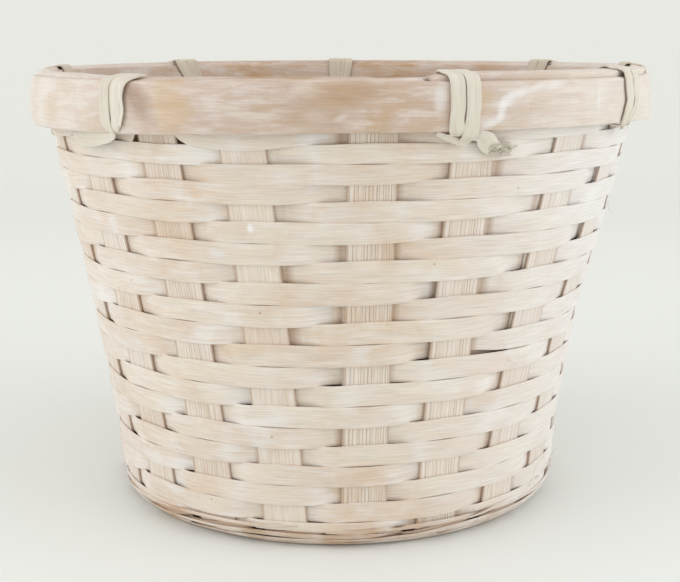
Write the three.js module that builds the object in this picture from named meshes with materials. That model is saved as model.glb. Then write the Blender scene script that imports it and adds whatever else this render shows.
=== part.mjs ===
// Lined basket: a round, flared basket of whitewashed bamboo splints with a lift-out liner.
// Flat strips cross in a square mat under the basket, bend up as the stakes of the wall, and one
// long spiral of flat weavers runs over two stakes and behind one. Twined splints close the foot,
// two bamboo hoops with a filler strip clamp the stake tops, and cane ties lash the rim.
//
// Millimetres, +Z up, origin at the centre of the circle that the basket stands on.
// Bearings are counted from the front (-Y) towards the right (+X).
import * as THREE from "three";

// Overall size
const RIM_RADIUS = 125; // outer face of the outer hoop, at its top edge
const HOOP_TOP = 175; // height of the hoops' top edges above the floor
const FLAT_RADIUS = 82.5; // where the flat base ends and the rounded foot begins
const FOOT_BEND = 9; // bend radius of the stakes at the foot
const FOOT_LEAN = 4.9; // degrees that the wall leans out just above the foot
const LOWER_WALL = 44; // how far up the wall keeps that lean before it flares

// Running gap between neighbouring pieces
const CLEARANCE = 0.3;

// Stakes
const STRIPS_EACH_WAY = 5; // strips that cross the base in each direction
const STAKE_WIDTH = 17.5;
const STAKE_THICKNESS = 1.2;
const MAT_GAP = 3.5; // open gap between parallel strips in the base mat
const MAT_EASE = 0.35; // how far past a crossing a strip stays flat
const FRONT_BEARING = 6; // bearing of the middle front stake, in degrees
// How far each stake has drifted sideways at the rim, in degrees, as hand work leaves it
const RIM_DRIFT = [
  -2.6, -4.5, 0, -0.5, 3.5, 3.5, 3, 2.5, 2, 1.5, 1, 0.5, 0, -0.5, -1, -1.5, -2, -2.5, -3, -3,
];

// Weavers of the wall
const WEAVER_WIDTH_FOOT = 6.85;
const WEAVER_WIDTH_MIDDLE = 7.6; // the weavers are widest half way up
const WEAVER_WIDTH_RIM = 5.95;
const WEAVER_THICKNESS = 1.1;
const OVER = 2; // stakes that a weaver passes in front of
const UNDER = 1; // stakes that it then passes behind
const WEAVER_STRIPS = 20; // splints that make up the spiral, each ending behind a stake
const SPIRAL_STAKE = 12; // stake that the spiral is counted from
const TIP_STAKES = 4; // how far short of vanishing the spiral's tapered ends are cut
const BEND_EASE = 0.75; // how far past a stake's edge a weaver starts to bend

// Twined splints of the foot, three-sided, and the flat splint that rests on the floor
const SPLINT_WIDTH = 3;
const SPLINT_THICKNESS = 1.2;
const SPLINT_CROSSING = 0.25; // half the gap between two splints where they cross
const WEAVE_TUCK = 2.2; // how far the lowest weaver reaches down into the foot's bend
const BASE_SPLINT_WIDTH = 3.4;

// Rim
const HOOP_HEIGHT = 16.5;
const OUTER_HOOP_THICKNESS = 2.6;
const INNER_HOOP_THICKNESS = 2.2;
const HOOP_EDGE_ROUND = 0.4; // how much thinner a hoop is at its edges
const HOOP_LAP = 1.5; // length of a hoop's scarf lap, in stakes
const HOOP_TIP = 0.6; // thickness of the tapered ends of a lap
const HOOP_LAP_RAMP = 0.8; // length over which an end climbs onto the lap, in stakes
const OUTER_LAP_STAKE = 10; // stake where the outer hoop's lap starts
const INNER_LAP_STAKE = 1; // stake where the inner hoop's lap starts
const FILLER_STAKE = 2; // the filler strip starts after this stake
const FILLER_THICKNESS = 2.2;
const FILLER_RISE = 2.2; // how far the filler strip stands above the hoops
const FILLER_PROUD_STAKES = 17; // past these it drops level with the hoops' edges
const RIM_COURSE_WIDTH = 7; // the last course, clamped out of sight between the hoops

// Cane ties, each two turns round the rim. Their ends pass through the gap after the stake named
// here, close to the next stake, and the turns lie so far to the right of the gap's middle.
const TIE_AFTER_STAKE = [2, 4, 6, 8, 11, 13, 16, 19];
const TIE_ASIDE = [11, 15, 0, 2.5, 4, 13, 0, 6];
const TIE_WIDTH = 7;
const TIE_PINCHED = 3; // width where it squeezes through the wall
const TIE_PINCH = 6; // height over which a turn narrows above the passage
const TIE_SLANT = 4; // how far a turn slants sideways as it crosses the rim's top
const TIE_EASE = 0.25; // extra slack, so that a turn clears the wall's bends
const TIE_THICKNESS = 1.1;
const TIE_CORNER = 0.8;
const TIE_TAIL = 9;
const TIE_TAIL_WIDTH = 5;
const TIE_TAIL_DRIFT = 10; // how far a tail swings sideways
const TIE_TAILS_LEFT = [8, 19]; // the ties whose tail swings to the left

// Liner, a thin plastic pot that stands in the basket and lifts out
const LINER_WALL = 1.2;
const LINER_FOOT_GAP = 5; // from the stakes' middle to the liner, at the foot
const LINER_FOOT_BEND = 8;
const LINER_BELOW_TIES = 2; // lip to the underside of the ties
const LINER_PASSAGE = 1; // gap at the narrowest place as it lifts past the ties
const LINER_LIP = 2.6; // how far the rolled lip stands out
const LINER_LIP_HEIGHT = 3;
const LINER_SIDES = 22;

const STAKES = 4 * STRIPS_EACH_WAY;
const STEP = 360 / STAKES;
const HALF_WIDTH = STAKE_WIDTH / 2;
const BEND_AT = HALF_WIDTH + BEND_EASE;

// Distances from the middle of a stake, square to the wall: outwards is positive
const WEAVER_MIDDLE = STAKE_THICKNESS / 2 + CLEARANCE + WEAVER_THICKNESS / 2;
const WEAVE_FACE = WEAVER_MIDDLE + WEAVER_THICKNESS / 2;
const LAPPED_MIDDLE = WEAVER_MIDDLE + WEAVER_THICKNESS + CLEARANCE;
const HOOP_FACE = WEAVE_FACE + CLEARANCE;
const OUTER_FACE = HOOP_FACE + OUTER_HOOP_THICKNESS;
const INNER_FACE = HOOP_FACE + INNER_HOOP_THICKNESS;

const BASE_PLANE = WEAVE_FACE; // height of the stakes' middle in the base
const rad = THREE.MathUtils.degToRad;
const { clamp, lerp } = THREE.MathUtils;

// The line that a stake's middle follows, from the centre of the base up past the rim
const OVERSHOOT = 8;
const profile = makeProfile();
const PROFILE_LENGTH = profile.getLength();
const AT_FOOT = FLAT_RADIUS;
const AT_WALL = AT_FOOT + FOOT_BEND * (Math.PI / 2 - rad(FOOT_LEAN));
const AT_RIM = PROFILE_LENGTH - OVERSHOOT;
const AT_HOOP_BOTTOM = AT_RIM - HOOP_HEIGHT;
const WEAVE_BOTTOM = AT_WALL - WEAVE_TUCK;
const TWINED_HEIGHT = WEAVE_BOTTOM - AT_FOOT - 2 * CLEARANCE;
const TWINED_ROWS = Math.floor(TWINED_HEIGHT / (SPLINT_WIDTH + CLEARANCE));
const TWINED_PITCH = TWINED_HEIGHT / TWINED_ROWS;
const WEAVE_TOP = AT_HOOP_BOTTOM - TIE_THICKNESS - 2 * CLEARANCE;
const WEAVER_BULGE = WEAVER_WIDTH_MIDDLE - (WEAVER_WIDTH_FOOT + WEAVER_WIDTH_RIM) / 2;
const MEAN_WIDTH = WEAVER_WIDTH_MIDDLE - WEAVER_BULGE / 3;
const COURSES = Math.floor((WEAVE_TOP - WEAVE_BOTTOM) / (MEAN_WIDTH + CLEARANCE));
const COURSE_PITCH = (WEAVE_TOP - WEAVE_BOTTOM) / COURSES;

function makeProfile() {
  const lean = rad(FOOT_LEAN);
  const path = new THREE.Path();
  const centre = new THREE.Vector2(FLAT_RADIUS, BASE_PLANE + FOOT_BEND);
  const rimRadius = RIM_RADIUS - OUTER_FACE;
  path.moveTo(0, BASE_PLANE);
  path.lineTo(FLAT_RADIUS, BASE_PLANE);
  path.absarc(centre.x, centre.y, FOOT_BEND, -Math.PI / 2, -lean, false);
  const bendEnd = path.currentPoint.clone();
  const knee = new THREE.Vector2(Math.sin(lean), Math.cos(lean)).multiplyScalar(LOWER_WALL).add(bendEnd);
  path.quadraticCurveTo(knee.x, knee.y, rimRadius, HOOP_TOP);
  const flare = new THREE.Vector2(rimRadius, HOOP_TOP).sub(knee).setLength(OVERSHOOT);
  path.lineTo(rimRadius + flare.x, HOOP_TOP + flare.y);
  return path;
}

// Unit vectors of a bearing: away from the axis, and sideways to the right
function outwards(degrees) {
  return new THREE.Vector3(Math.sin(rad(degrees)), -Math.cos(rad(degrees)), 0);
}

function sideways(degrees) {
  return new THREE.Vector3(Math.cos(rad(degrees)), Math.sin(rad(degrees)), 0);
}

function wrap(stake) {
  return ((stake % STAKES) + STAKES) % STAKES;
}

function stakeBearing(stake, along) {
  const climb = clamp((along - AT_FOOT) / (AT_RIM - AT_FOOT), 0, 1);
  const even = FRONT_BEARING + (stake - (STRIPS_EACH_WAY - 1) / 2) * STEP;
  return even + climb * RIM_DRIFT[wrap(stake) % RIM_DRIFT.length];
}

// The base mat: the place of a strip in its side, and where it leaves the mat
function matOffset(place) {
  return (place - (STRIPS_EACH_WAY - 1) / 2) * (STAKE_WIDTH + MAT_GAP);
}

const MAT_EDGE = matOffset(STRIPS_EACH_WAY - 1) + HALF_WIDTH + MAT_EASE;
const MAT_EXIT = MAT_EDGE + MAT_GAP - 2 * MAT_EASE;

// Middle, sideways and outward directions of a stake, at a length along the profile
function stakeFrame(stake, along) {
  const bearing = stakeBearing(stake, along);
  if (along >= AT_FOOT) {
    const t = Math.min(along / PROFILE_LENGTH, 1);
    const place = profile.getPoint(t);
    const slope = profile.getTangent(t);
    const out = outwards(bearing);
    return {
      middle: out.clone().multiplyScalar(place.x).setZ(place.y),
      across: sideways(bearing),
      normal: out.multiplyScalar(slope.y).setZ(-slope.x),
    };
  }
  const side = FRONT_BEARING + 90 * Math.floor(wrap(stake) / STRIPS_EACH_WAY);
  const offset = matOffset(wrap(stake) % STRIPS_EACH_WAY);
  const exit = outwards(side).multiplyScalar(MAT_EXIT).addScaledVector(sideways(side), offset);
  const fan = clamp((along - exit.length()) / (AT_FOOT - exit.length()), 0, 1);
  const edge = outwards(bearing).multiplyScalar(AT_FOOT);
  return {
    middle: exit.lerp(edge, fan).setZ(BASE_PLANE),
    across: sideways(side).lerp(sideways(bearing), fan).normalize(),
    normal: new THREE.Vector3(0, 0, -1),
  };
}

// Distance between neighbouring stakes, round the wall
function stakePitch(along) {
  return profile.getPoint(along / PROFILE_LENGTH).x * rad(STEP);
}

// A point beside a stake: how far sideways, how far along the profile, how far outwards
function atStake(stake, aside, along, out) {
  const frame = stakeFrame(stake, along);
  return frame.middle.addScaledVector(frame.across, aside).addScaledVector(frame.normal, out);
}

// The same in the gap after a stake, measured from the middle of the gap
function atGap(stake, aside, along, out) {
  const left = atStake(stake, BEND_AT, along, out);
  const right = atStake(stake + 1, -BEND_AT, along, out);
  const across = right.clone().sub(left).normalize();
  return left.lerp(right, 0.5).addScaledVector(across, aside);
}

// The same, where the place may lie over one of the two stakes beside the gap
function fromGap(stake, aside, along, out) {
  const left = atStake(stake, BEND_AT, along, out);
  const half = left.distanceTo(atStake(stake + 1, -BEND_AT, along, out)) / 2;
  if (aside > half) return atStake(stake + 1, aside - half - BEND_AT, along, out);
  if (aside < -half) return atStake(stake, aside + half + BEND_AT, along, out);
  return atGap(stake, aside, along, out);
}

// A solid from a row of sections, each a ring of corners, with flat ends or closed on itself
function solidOf(sections, closed = false) {
  const corners = sections[0].length;
  const points = sections.flat();
  const faces = [];
  const steps = closed ? sections.length : sections.length - 1;
  for (let i = 0; i < steps; i++) {
    const here = i * corners;
    const next = ((i + 1) % sections.length) * corners;
    for (let c = 0; c < corners; c++) {
      const d = (c + 1) % corners;
      faces.push([here + c, here + d, next + c], [here + d, next + d, next + c]);
    }
  }
  if (!closed) {
    const last = (sections.length - 1) * corners;
    for (let c = 1; c < corners - 1; c++) {
      faces.push([0, c + 1, c], [last, last + c, last + c + 1]);
    }
  }
  const volume = faces.reduce(
    (sum, [a, b, c]) => sum + points[a].dot(points[b].clone().cross(points[c])),
    0,
  );
  const facing = volume < 0 ? faces.map(([a, b, c]) => [a, c, b]) : faces;
  const geometry = new THREE.BufferGeometry().setFromPoints(points);
  geometry.setIndex(facing.flat());
  geometry.computeVertexNormals();
  return geometry;
}

// The four corners of a flat strip that lies along the wall, beside a stake
function flatSection(stake, aside, low, high, inner, outer) {
  return [
    atStake(stake, aside, low, inner),
    atStake(stake, aside, low, outer),
    atStake(stake, aside, high, outer),
    atStake(stake, aside, high, inner),
  ];
}

// One long strip: up one wall, down, across the base mat and up the opposite wall
function stakeStrip(lengthwise, place) {
  const opposite = STRIPS_EACH_WAY - 1 - place;
  const firstStake = (lengthwise ? 0 : STRIPS_EACH_WAY) + place;
  const lastStake = firstStake - place + 2 * STRIPS_EACH_WAY + opposite;
  const sections = [
    ...wallSections(firstStake, 1),
    ...matSections(lengthwise, place),
    ...wallSections(lastStake, -1).reverse(),
  ];
  return solidOf(sections);
}

function wallSections(stake, hand) {
  const top = AT_RIM - FILLER_THICKNESS - CLEARANCE;
  const lengths = [];
  const wallSteps = 4;
  const bendSteps = 4;
  for (let i = wallSteps; i > 0; i--) lengths.push(lerp(AT_WALL, top, (i / wallSteps) ** 1.3));
  for (let i = 0; i <= bendSteps; i++) lengths.push(lerp(AT_WALL, AT_FOOT, i / bendSteps));
  const exit = Math.hypot(MAT_EXIT, matOffset(wrap(stake) % STRIPS_EACH_WAY));
  lengths.push((AT_FOOT + exit) / 2, exit);
  return lengths.map((along) => {
    const half = HALF_WIDTH * hand;
    const skin = STAKE_THICKNESS / 2;
    return [
      atStake(stake, -half, along, -skin),
      atStake(stake, half, along, -skin),
      atStake(stake, half, along, skin),
      atStake(stake, -half, along, skin),
    ];
  });
}

// Over and under through the mat, with a flat stretch on each crossing
function matSections(lengthwise, place) {
  const side = FRONT_BEARING + (lengthwise ? 0 : 90);
  const lift = (STAKE_THICKNESS + CLEARANCE) / 2;
  const sections = [];
  for (let i = 0; i < STRIPS_EACH_WAY; i++) {
    const crossing = STRIPS_EACH_WAY - 1 - i;
    const above = (place + i) % 2 === 0 ? lengthwise : !lengthwise;
    const height = BASE_PLANE + (above ? lift : -lift);
    for (const end of [1, -1]) {
      const reach = matOffset(crossing) + end * (HALF_WIDTH + MAT_EASE);
      const centre = outwards(side).multiplyScalar(reach).addScaledVector(sideways(side), matOffset(place));
      sections.push(matSection(centre, sideways(side), height));
    }
  }
  return sections;
}

function matSection(centre, across, height) {
  const skin = STAKE_THICKNESS / 2;
  const corner = (aside, lift) => centre.clone().addScaledVector(across, aside).setZ(height + lift);
  return [
    corner(-HALF_WIDTH, skin),
    corner(HALF_WIDTH, skin),
    corner(HALF_WIDTH, -skin),
    corner(-HALF_WIDTH, -skin),
  ];
}

// The spiral is counted in stakes from where its lower edge leaves the foot
const REPEAT = OVER + UNDER;
const FIRST_COUNT = nextBehind(TIP_STAKES);
const LAST_COUNT = nextBehind((COURSES + 1) * STAKES - TIP_STAKES - REPEAT + 1);
const REPEATS = (LAST_COUNT - FIRST_COUNT) / REPEAT;

function isBehind(count) {
  return count % REPEAT >= OVER;
}

function nextBehind(count) {
  return isBehind(count) ? count : nextBehind(count + 1);
}

// Count at which a weaver strip starts, or the spiral ends
function stripStart(strip) {
  return FIRST_COUNT + REPEAT * Math.round((REPEATS * strip) / WEAVER_STRIPS);
}

// Width of the weavers after so many rounds
function weaverWidth(rounds) {
  const climb = rounds / COURSES;
  return lerp(WEAVER_WIDTH_FOOT, WEAVER_WIDTH_RIM, climb) + 4 * WEAVER_BULGE * climb * (1 - climb);
}

// Lower and upper edges of the spiral. Its first and last rounds taper, so both ends are level.
// The spread adds up how far the rounds below are wider or narrower than the mean.
function spiralEdges(count) {
  const rounds = count / STAKES - 1;
  const climb = rounds / COURSES;
  const slant = (WEAVER_WIDTH_FOOT - WEAVER_WIDTH_RIM) / 2 - (WEAVER_BULGE * (2 - 4 * climb)) / 3;
  const low = WEAVE_BOTTOM + COURSE_PITCH * rounds + rounds * (1 - climb) * slant;
  const high = low + weaverWidth(rounds + 0.5);
  return [Math.max(low, WEAVE_BOTTOM), Math.min(high, WEAVE_TOP)];
}

// One strip of the spiral. Its last end tucks in behind the first end of the next strip.
function weaverStrip(first, last) {
  const skin = WEAVER_THICKNESS / 2;
  const sections = [];
  for (let count = first; count <= last; count++) {
    const lapped = count === last && last < LAST_COUNT;
    const middle = lapped ? -LAPPED_MIDDLE : isBehind(count) ? -WEAVER_MIDDLE : WEAVER_MIDDLE;
    for (const end of [-1, 1]) {
      const cut = (count === first && end < 0) || (count === last && end > 0);
      const aside = end * (cut ? HALF_WIDTH - BEND_EASE : BEND_AT);
      const [low, high] = spiralEdges(count + aside / stakePitch(spiralEdges(count)[0]));
      sections.push(flatSection(SPIRAL_STAKE + count, aside, low, high, middle - skin, middle + skin));
    }
  }
  return solidOf(sections);
}

// A closed round of flat splint, in front of every second stake and behind the others
function plainRound(low, high) {
  const sections = [];
  const skin = WEAVER_THICKNESS / 2;
  for (let stake = 0; stake < STAKES; stake++) {
    const middle = stake % 2 === 0 ? WEAVER_MIDDLE : -WEAVER_MIDDLE;
    for (const end of [-1, 1]) {
      sections.push(flatSection(stake, end * BEND_AT, low, high, middle - skin, middle + skin));
    }
  }
  return solidOf(sections, true);
}

// One of the two ridged splints of a twined row, ridge outwards. They change places at every gap:
// the one that lies in front rises over the other, passes behind the next stake and comes up
// from below. Where they cross, both are pressed narrow, one above the other.
function twinedSplint(row, strand) {
  const centre = AT_FOOT + CLEARANCE + TWINED_PITCH * (row + 0.5);
  const half = SPLINT_WIDTH / 2;
  const skin = SPLINT_THICKNESS / 2;
  const pressed = (TWINED_PITCH - CLEARANCE) / 2 - SPLINT_CROSSING;
  const crossing = (low) => [
    [-skin, low],
    [-skin, low + pressed],
    [skin, low + pressed / 2],
  ];
  const sections = [];
  for (let stake = 0; stake < STAKES; stake++) {
    const inFront = (stake + strand) % 2 === 0;
    const near = STAKE_THICKNESS / 2 + CLEARANCE;
    const back = inFront ? near : -near - SPLINT_THICKNESS;
    const flat = [
      [back, -half],
      [back, half],
      [back + SPLINT_THICKNESS, 0],
    ];
    for (const end of [-1, 1]) {
      sections.push(flat.map(([out, up]) => atStake(stake, end * BEND_AT, centre + up, out)));
    }
    const low = inFront ? SPLINT_CROSSING : -SPLINT_CROSSING - pressed;
    sections.push(crossing(low).map(([out, up]) => atGap(stake, 0, centre + up, out)));
  }
  return solidOf(sections, true);
}

// A bamboo hoop: bowed across its width, with tapered ends that lap where they meet
function hoop(faceDistance, thickness, lapStake, hand) {
  const middle = AT_RIM - HOOP_HEIGHT / 2;
  const last = STAKES + HOOP_LAP;
  const sections = [];
  for (let count = 0; count <= STAKES + Math.ceil(HOOP_LAP); count++) {
    for (const end of [-1, 1]) {
      const place = count + (end * BEND_AT) / stakePitch(AT_RIM);
      if (place < 0 || place > last) continue;
      const starting = clamp(place / HOOP_LAP, 0, 1);
      const ending = clamp((place - STAKES) / HOOP_LAP, 0, 1);
      const passing = place > STAKES - HOOP_LAP_RAMP;
      const under = lerp(HOOP_TIP, thickness, ending) + CLEARANCE;
      const near = faceDistance + (passing ? under : 0);
      const far = passing
        ? faceDistance + lerp(thickness + CLEARANCE, thickness + CLEARANCE + HOOP_TIP, ending)
        : faceDistance + lerp(HOOP_TIP, thickness, starting);
      const bow = Math.min(HOOP_EDGE_ROUND, (far - near) / 3);
      const stake = lapStake + count;
      const corner = (along, out) => atStake(stake, end * BEND_AT, along, hand * out);
      sections.push([
        corner(AT_HOOP_BOTTOM, near),
        corner(AT_HOOP_BOTTOM, far - bow),
        corner(middle, far),
        corner(AT_RIM, far - bow),
        corner(AT_RIM, near),
      ]);
    }
  }
  return solidOf(sections);
}

// The filler strip that covers the stake tops. It stands proud of the hoops, drops level with
// them for its last stretch, and butts against its own first end.
function rimFiller() {
  const half = HOOP_FACE - CLEARANCE;
  const section = (count, aside) => {
    const high = AT_RIM + (count <= FILLER_PROUD_STAKES ? FILLER_RISE : 0);
    return flatSection(FILLER_STAKE + count, aside, high - FILLER_THICKNESS, high, -half, half);
  };
  const sections = [section(0, BEND_AT)];
  for (let count = 1; count < STAKES; count++) {
    sections.push(section(count, -BEND_AT), section(count, BEND_AT));
  }
  sections.push(section(STAKES, -BEND_AT), section(STAKES, BEND_AT - CLEARANCE));
  return solidOf(sections);
}

// A cane tie: two turns round hoops and filler that narrow to pass through the wall beside a
// stake, then a loose tail down the outside of the wall
function caneTie(stake, shift) {
  const hand = TIE_TAILS_LEFT.includes(stake) ? -1 : 1;
  const inner = -INNER_FACE - CLEARANCE;
  const outer = OUTER_FACE + CLEARANCE + TIE_EASE;
  const low = AT_HOOP_BOTTOM - CLEARANCE;
  const high = AT_RIM + FILLER_RISE + CLEARANCE;
  const thick = TIE_THICKNESS;
  const cut = TIE_CORNER;
  const back = cut + thick / 2;
  const gap = atStake(stake, STAKE_WIDTH / 2, low, 0)
    .distanceTo(atStake(stake + 1, -STAKE_WIDTH / 2, low, 0));
  const passage = gap / 2 - TIE_PINCHED - 1.5 * CLEARANCE;
  const lane = (width, side) => (side * (width + CLEARANCE)) / 2;
  const wide = (side, slant) => [
    shift + hand * (lane(TIE_WIDTH, side) + slant),
    TIE_WIDTH / 2,
  ];
  const pinched = (side) => [passage + hand * lane(TIE_PINCHED, side), TIE_PINCHED / 2];
  const turn = (side) => [
    [pinched(side), [inner, low + cut], [inner - thick, low + back - thick]],
    [wide(side, -TIE_SLANT), [inner, high - cut], [inner - thick, high + thick - back]],
    [wide(side, -TIE_SLANT), [inner + cut, high], [inner + back - thick, high + thick]],
    [wide(side, 0), [outer - cut, high], [outer + thick - back, high + thick]],
    [wide(side, 0), [outer, high - cut], [outer + thick, high + thick - back]],
    [wide(side, 0), [outer, low + cut + TIE_PINCH], [outer + thick, low + cut + TIE_PINCH]],
    [pinched(side), [outer, low + cut], [outer + thick, low + back - thick]],
  ];
  const through = [
    [pinched(-1), [outer - cut, low], [outer + thick - back, low - thick]],
    [pinched(1), [inner + cut, low], [inner + back - thick, low - thick]],
  ];
  const rest = low - TIE_TAIL / 3;
  const end = low - TIE_TAIL;
  const near = HOOP_FACE + TIE_EASE;
  const swung = (share) => [
    passage + hand * (lane(TIE_PINCHED, 1) + TIE_TAIL_DRIFT * share),
    TIE_TAIL_WIDTH / 2,
  ];
  const tail = [
    [swung(0.5), [near, rest], [near + thick, rest]],
    [swung(1), [near, end], [near + thick, end]],
  ];
  return solidOf(
    [...turn(-1), ...through, ...turn(1), ...tail].map(([[aside, half], inside, outside]) => [
      fromGap(stake, aside - hand * half, inside[1], inside[0]),
      fromGap(stake, aside + hand * half, inside[1], inside[0]),
      fromGap(stake, aside + hand * half, outside[1], outside[0]),
      fromGap(stake, aside - hand * half, outside[1], outside[0]),
    ]),
  );
}

// Radius of the stakes' middle at a height
function wallRadius(height) {
  let low = AT_FOOT;
  let high = PROFILE_LENGTH;
  for (let i = 0; i < 40; i++) {
    const middle = (low + high) / 2;
    if (profile.getPoint(middle / PROFILE_LENGTH).y < height) low = middle;
    else high = middle;
  }
  return profile.getPoint(low / PROFILE_LENGTH).x;
}

function liner() {
  const tieBottom = profile.getPoint(WEAVE_TOP / PROFILE_LENGTH);
  const narrowest = tieBottom.x - INNER_FACE - TIE_THICKNESS - 2 * CLEARANCE;
  const lipRadius = narrowest - LINER_PASSAGE;
  const lipTop = tieBottom.y - LINER_BELOW_TIES;
  const lipUnder = lipTop - LINER_LIP_HEIGHT;
  const floor = BASE_PLANE + WEAVE_FACE + CLEARANCE;
  const topRadius = lipRadius - LINER_LIP;
  const bendTop = floor + LINER_FOOT_BEND;
  const footRadius = wallRadius(bendTop) - LINER_FOOT_GAP;
  const middleHeight = (bendTop + lipUnder) / 2;
  const middleGap = (LINER_FOOT_GAP + wallRadius(lipUnder) - topRadius) / 2;
  const middleRadius = wallRadius(middleHeight) - middleGap;
  const bend = (radius, turned) => [
    footRadius - LINER_FOOT_BEND + radius * Math.sin(turned),
    bendTop - radius * Math.cos(turned),
  ];
  const inside = LINER_FOOT_BEND - LINER_WALL;
  const outline = [
    [0, floor],
    bend(LINER_FOOT_BEND, 0),
    bend(LINER_FOOT_BEND, Math.PI / 4),
    bend(LINER_FOOT_BEND, Math.PI / 2),
    [middleRadius, middleHeight],
    [topRadius, lipUnder],
    [lipRadius, lipUnder],
    [lipRadius, lipTop],
    [topRadius - LINER_WALL, lipTop],
    [middleRadius - LINER_WALL, middleHeight],
    bend(inside, Math.PI / 2),
    bend(inside, Math.PI / 4),
    bend(inside, 0),
    [0, floor + LINER_WALL],
  ];
  const shape = outline.map(([radius, height]) => new THREE.Vector2(radius, height));
  return new THREE.LatheGeometry(shape, LINER_SIDES).rotateX(Math.PI / 2);
}

const finish = {
  weaver: { color: 0xddd0c4, roughness: 0.72, metalness: 0 },
  stake: { color: 0xd3c2b0, roughness: 0.78, metalness: 0 },
  hoop: { color: 0xd6c3b2, roughness: 0.66, metalness: 0 },
  tie: { color: 0xd9d3c4, roughness: 0.6, metalness: 0 },
  liner: { color: 0x8f7a62, roughness: 0.5, metalness: 0 },
};

const basket = new THREE.Group();
const linerGroup = new THREE.Group();
const numbered = (name, number) => name + "_" + String(number).padStart(2, "0");

function add(group, name, geometry, look) {
  const mesh = new THREE.Mesh(geometry, new THREE.MeshStandardMaterial(finish[look]));
  mesh.name = name;
  group.add(mesh);
}

for (let i = 0; i < STRIPS_EACH_WAY; i++) {
  add(basket, numbered("stake_strip", i + 1), stakeStrip(true, i), "stake");
  add(basket, numbered("stake_strip", STRIPS_EACH_WAY + i + 1), stakeStrip(false, i), "stake");
}

for (let i = 0; i < WEAVER_STRIPS; i++) {
  add(basket, numbered("weaver", i + 1), weaverStrip(stripStart(i), stripStart(i + 1)), "weaver");
}

add(basket, "base_round", plainRound(AT_FOOT - BASE_SPLINT_WIDTH, AT_FOOT), "stake");

for (let i = 0; i < TWINED_ROWS; i++) {
  add(basket, numbered("foot_splint", 2 * i + 1), twinedSplint(i, 0), "weaver");
  add(basket, numbered("foot_splint", 2 * i + 2), twinedSplint(i, 1), "weaver");
}

add(
  basket,
  "rim_course",
  plainRound(AT_HOOP_BOTTOM, AT_HOOP_BOTTOM + RIM_COURSE_WIDTH),
  "weaver",
);
add(basket, "outer_hoop", hoop(HOOP_FACE, OUTER_HOOP_THICKNESS, OUTER_LAP_STAKE, 1), "hoop");
add(basket, "inner_hoop", hoop(HOOP_FACE, INNER_HOOP_THICKNESS, INNER_LAP_STAKE, -1), "hoop");
add(basket, "rim_filler", rimFiller(), "hoop");

TIE_AFTER_STAKE.forEach((stake, i) => {
  add(basket, numbered("cane_tie", i + 1), caneTie(stake, TIE_ASIDE[i]), "tie");
});

add(linerGroup, "liner", liner(), "liner");

const linedBasket = new THREE.Group();
linedBasket.add(basket, linerGroup);

export default linedBasket;
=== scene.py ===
# Lined basket: the looks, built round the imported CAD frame.
# A round flared basket of whitewashed bamboo. Lengths are written in millimetres, as in the CAD
# source, and are turned into metres where a mesh is made. Bearings count from the front (-Y)
# towards the right (+X).
import math

import bpy
import numpy as np
from mathutils import Matrix, Vector


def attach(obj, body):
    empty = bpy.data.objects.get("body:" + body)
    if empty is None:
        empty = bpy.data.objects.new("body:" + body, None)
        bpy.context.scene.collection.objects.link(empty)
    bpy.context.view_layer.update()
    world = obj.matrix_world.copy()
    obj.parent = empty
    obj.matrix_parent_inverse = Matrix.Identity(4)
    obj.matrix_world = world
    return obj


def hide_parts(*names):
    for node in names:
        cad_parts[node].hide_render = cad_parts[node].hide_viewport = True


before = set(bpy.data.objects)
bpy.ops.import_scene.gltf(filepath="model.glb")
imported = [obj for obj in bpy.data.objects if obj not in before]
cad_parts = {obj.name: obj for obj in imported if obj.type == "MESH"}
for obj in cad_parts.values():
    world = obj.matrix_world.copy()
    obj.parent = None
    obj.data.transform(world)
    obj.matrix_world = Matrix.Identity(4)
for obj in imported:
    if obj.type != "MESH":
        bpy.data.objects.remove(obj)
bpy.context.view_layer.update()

MM = 0.001

# Sizes repeated from the CAD source
RIM_RADIUS = 125
HOOP_TOP = 175
FLAT_RADIUS = 82.5
FOOT_BEND = 9
FOOT_LEAN = math.radians(4.9)
LOWER_WALL = 44
STRIPS_EACH_WAY = 5
STAKES = 4 * STRIPS_EACH_WAY
STAKE_WIDTH = 17.5
STAKE_THICKNESS = 1.2
MAT_GAP = 3.5
MAT_EASE = 0.35
FRONT_BEARING = 6
RIM_DRIFT = [
    -2.6, -4.5, 0, -0.5, 3.5, 3.5, 3, 2.5, 2, 1.5, 1, 0.5, 0, -0.5, -1, -1.5, -2, -2.5, -3, -3,
]
WIDTH_FOOT, WIDTH_MIDDLE, WIDTH_RIM = 6.85, 7.6, 5.95
WEAVER_THICKNESS = 1.1
WEAVER_STRIPS = 20
SPIRAL_STAKE = 12
TIP_STAKES = 4
CLEARANCE = 0.3
BEND_EASE = 0.75
WEAVE_TUCK = 2.2
BASE_SPLINT_WIDTH = 3.4
HOOP_HEIGHT = 16.5
OUTER_HOOP, INNER_HOOP = 2.6, 2.2
HOOP_LAP = 1.5
HOOP_TIP = 0.6
OUTER_LAP_STAKE = 10
INNER_LAP_STAKE = 1
FILLER_STAKE = 2
FILLER_THICKNESS = 2.2
FILLER_RISE = 2.2
FILLER_PROUD_STAKES = 17
TIE_THICKNESS = 1.1
TIE_AFTER_STAKE = [2, 4, 6, 8, 11, 13, 16, 19]
TIE_ASIDE = [11, 15, 0, 2.5, 4, 13, 0, 6]
LINER_WALL = 1.2
LINER_FOOT_GAP = 5
LINER_FOOT_BEND = 8
LINER_BELOW_TIES = 2
LINER_PASSAGE = 1
LINER_LIP = 2.6
LINER_LIP_HEIGHT = 3

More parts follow.
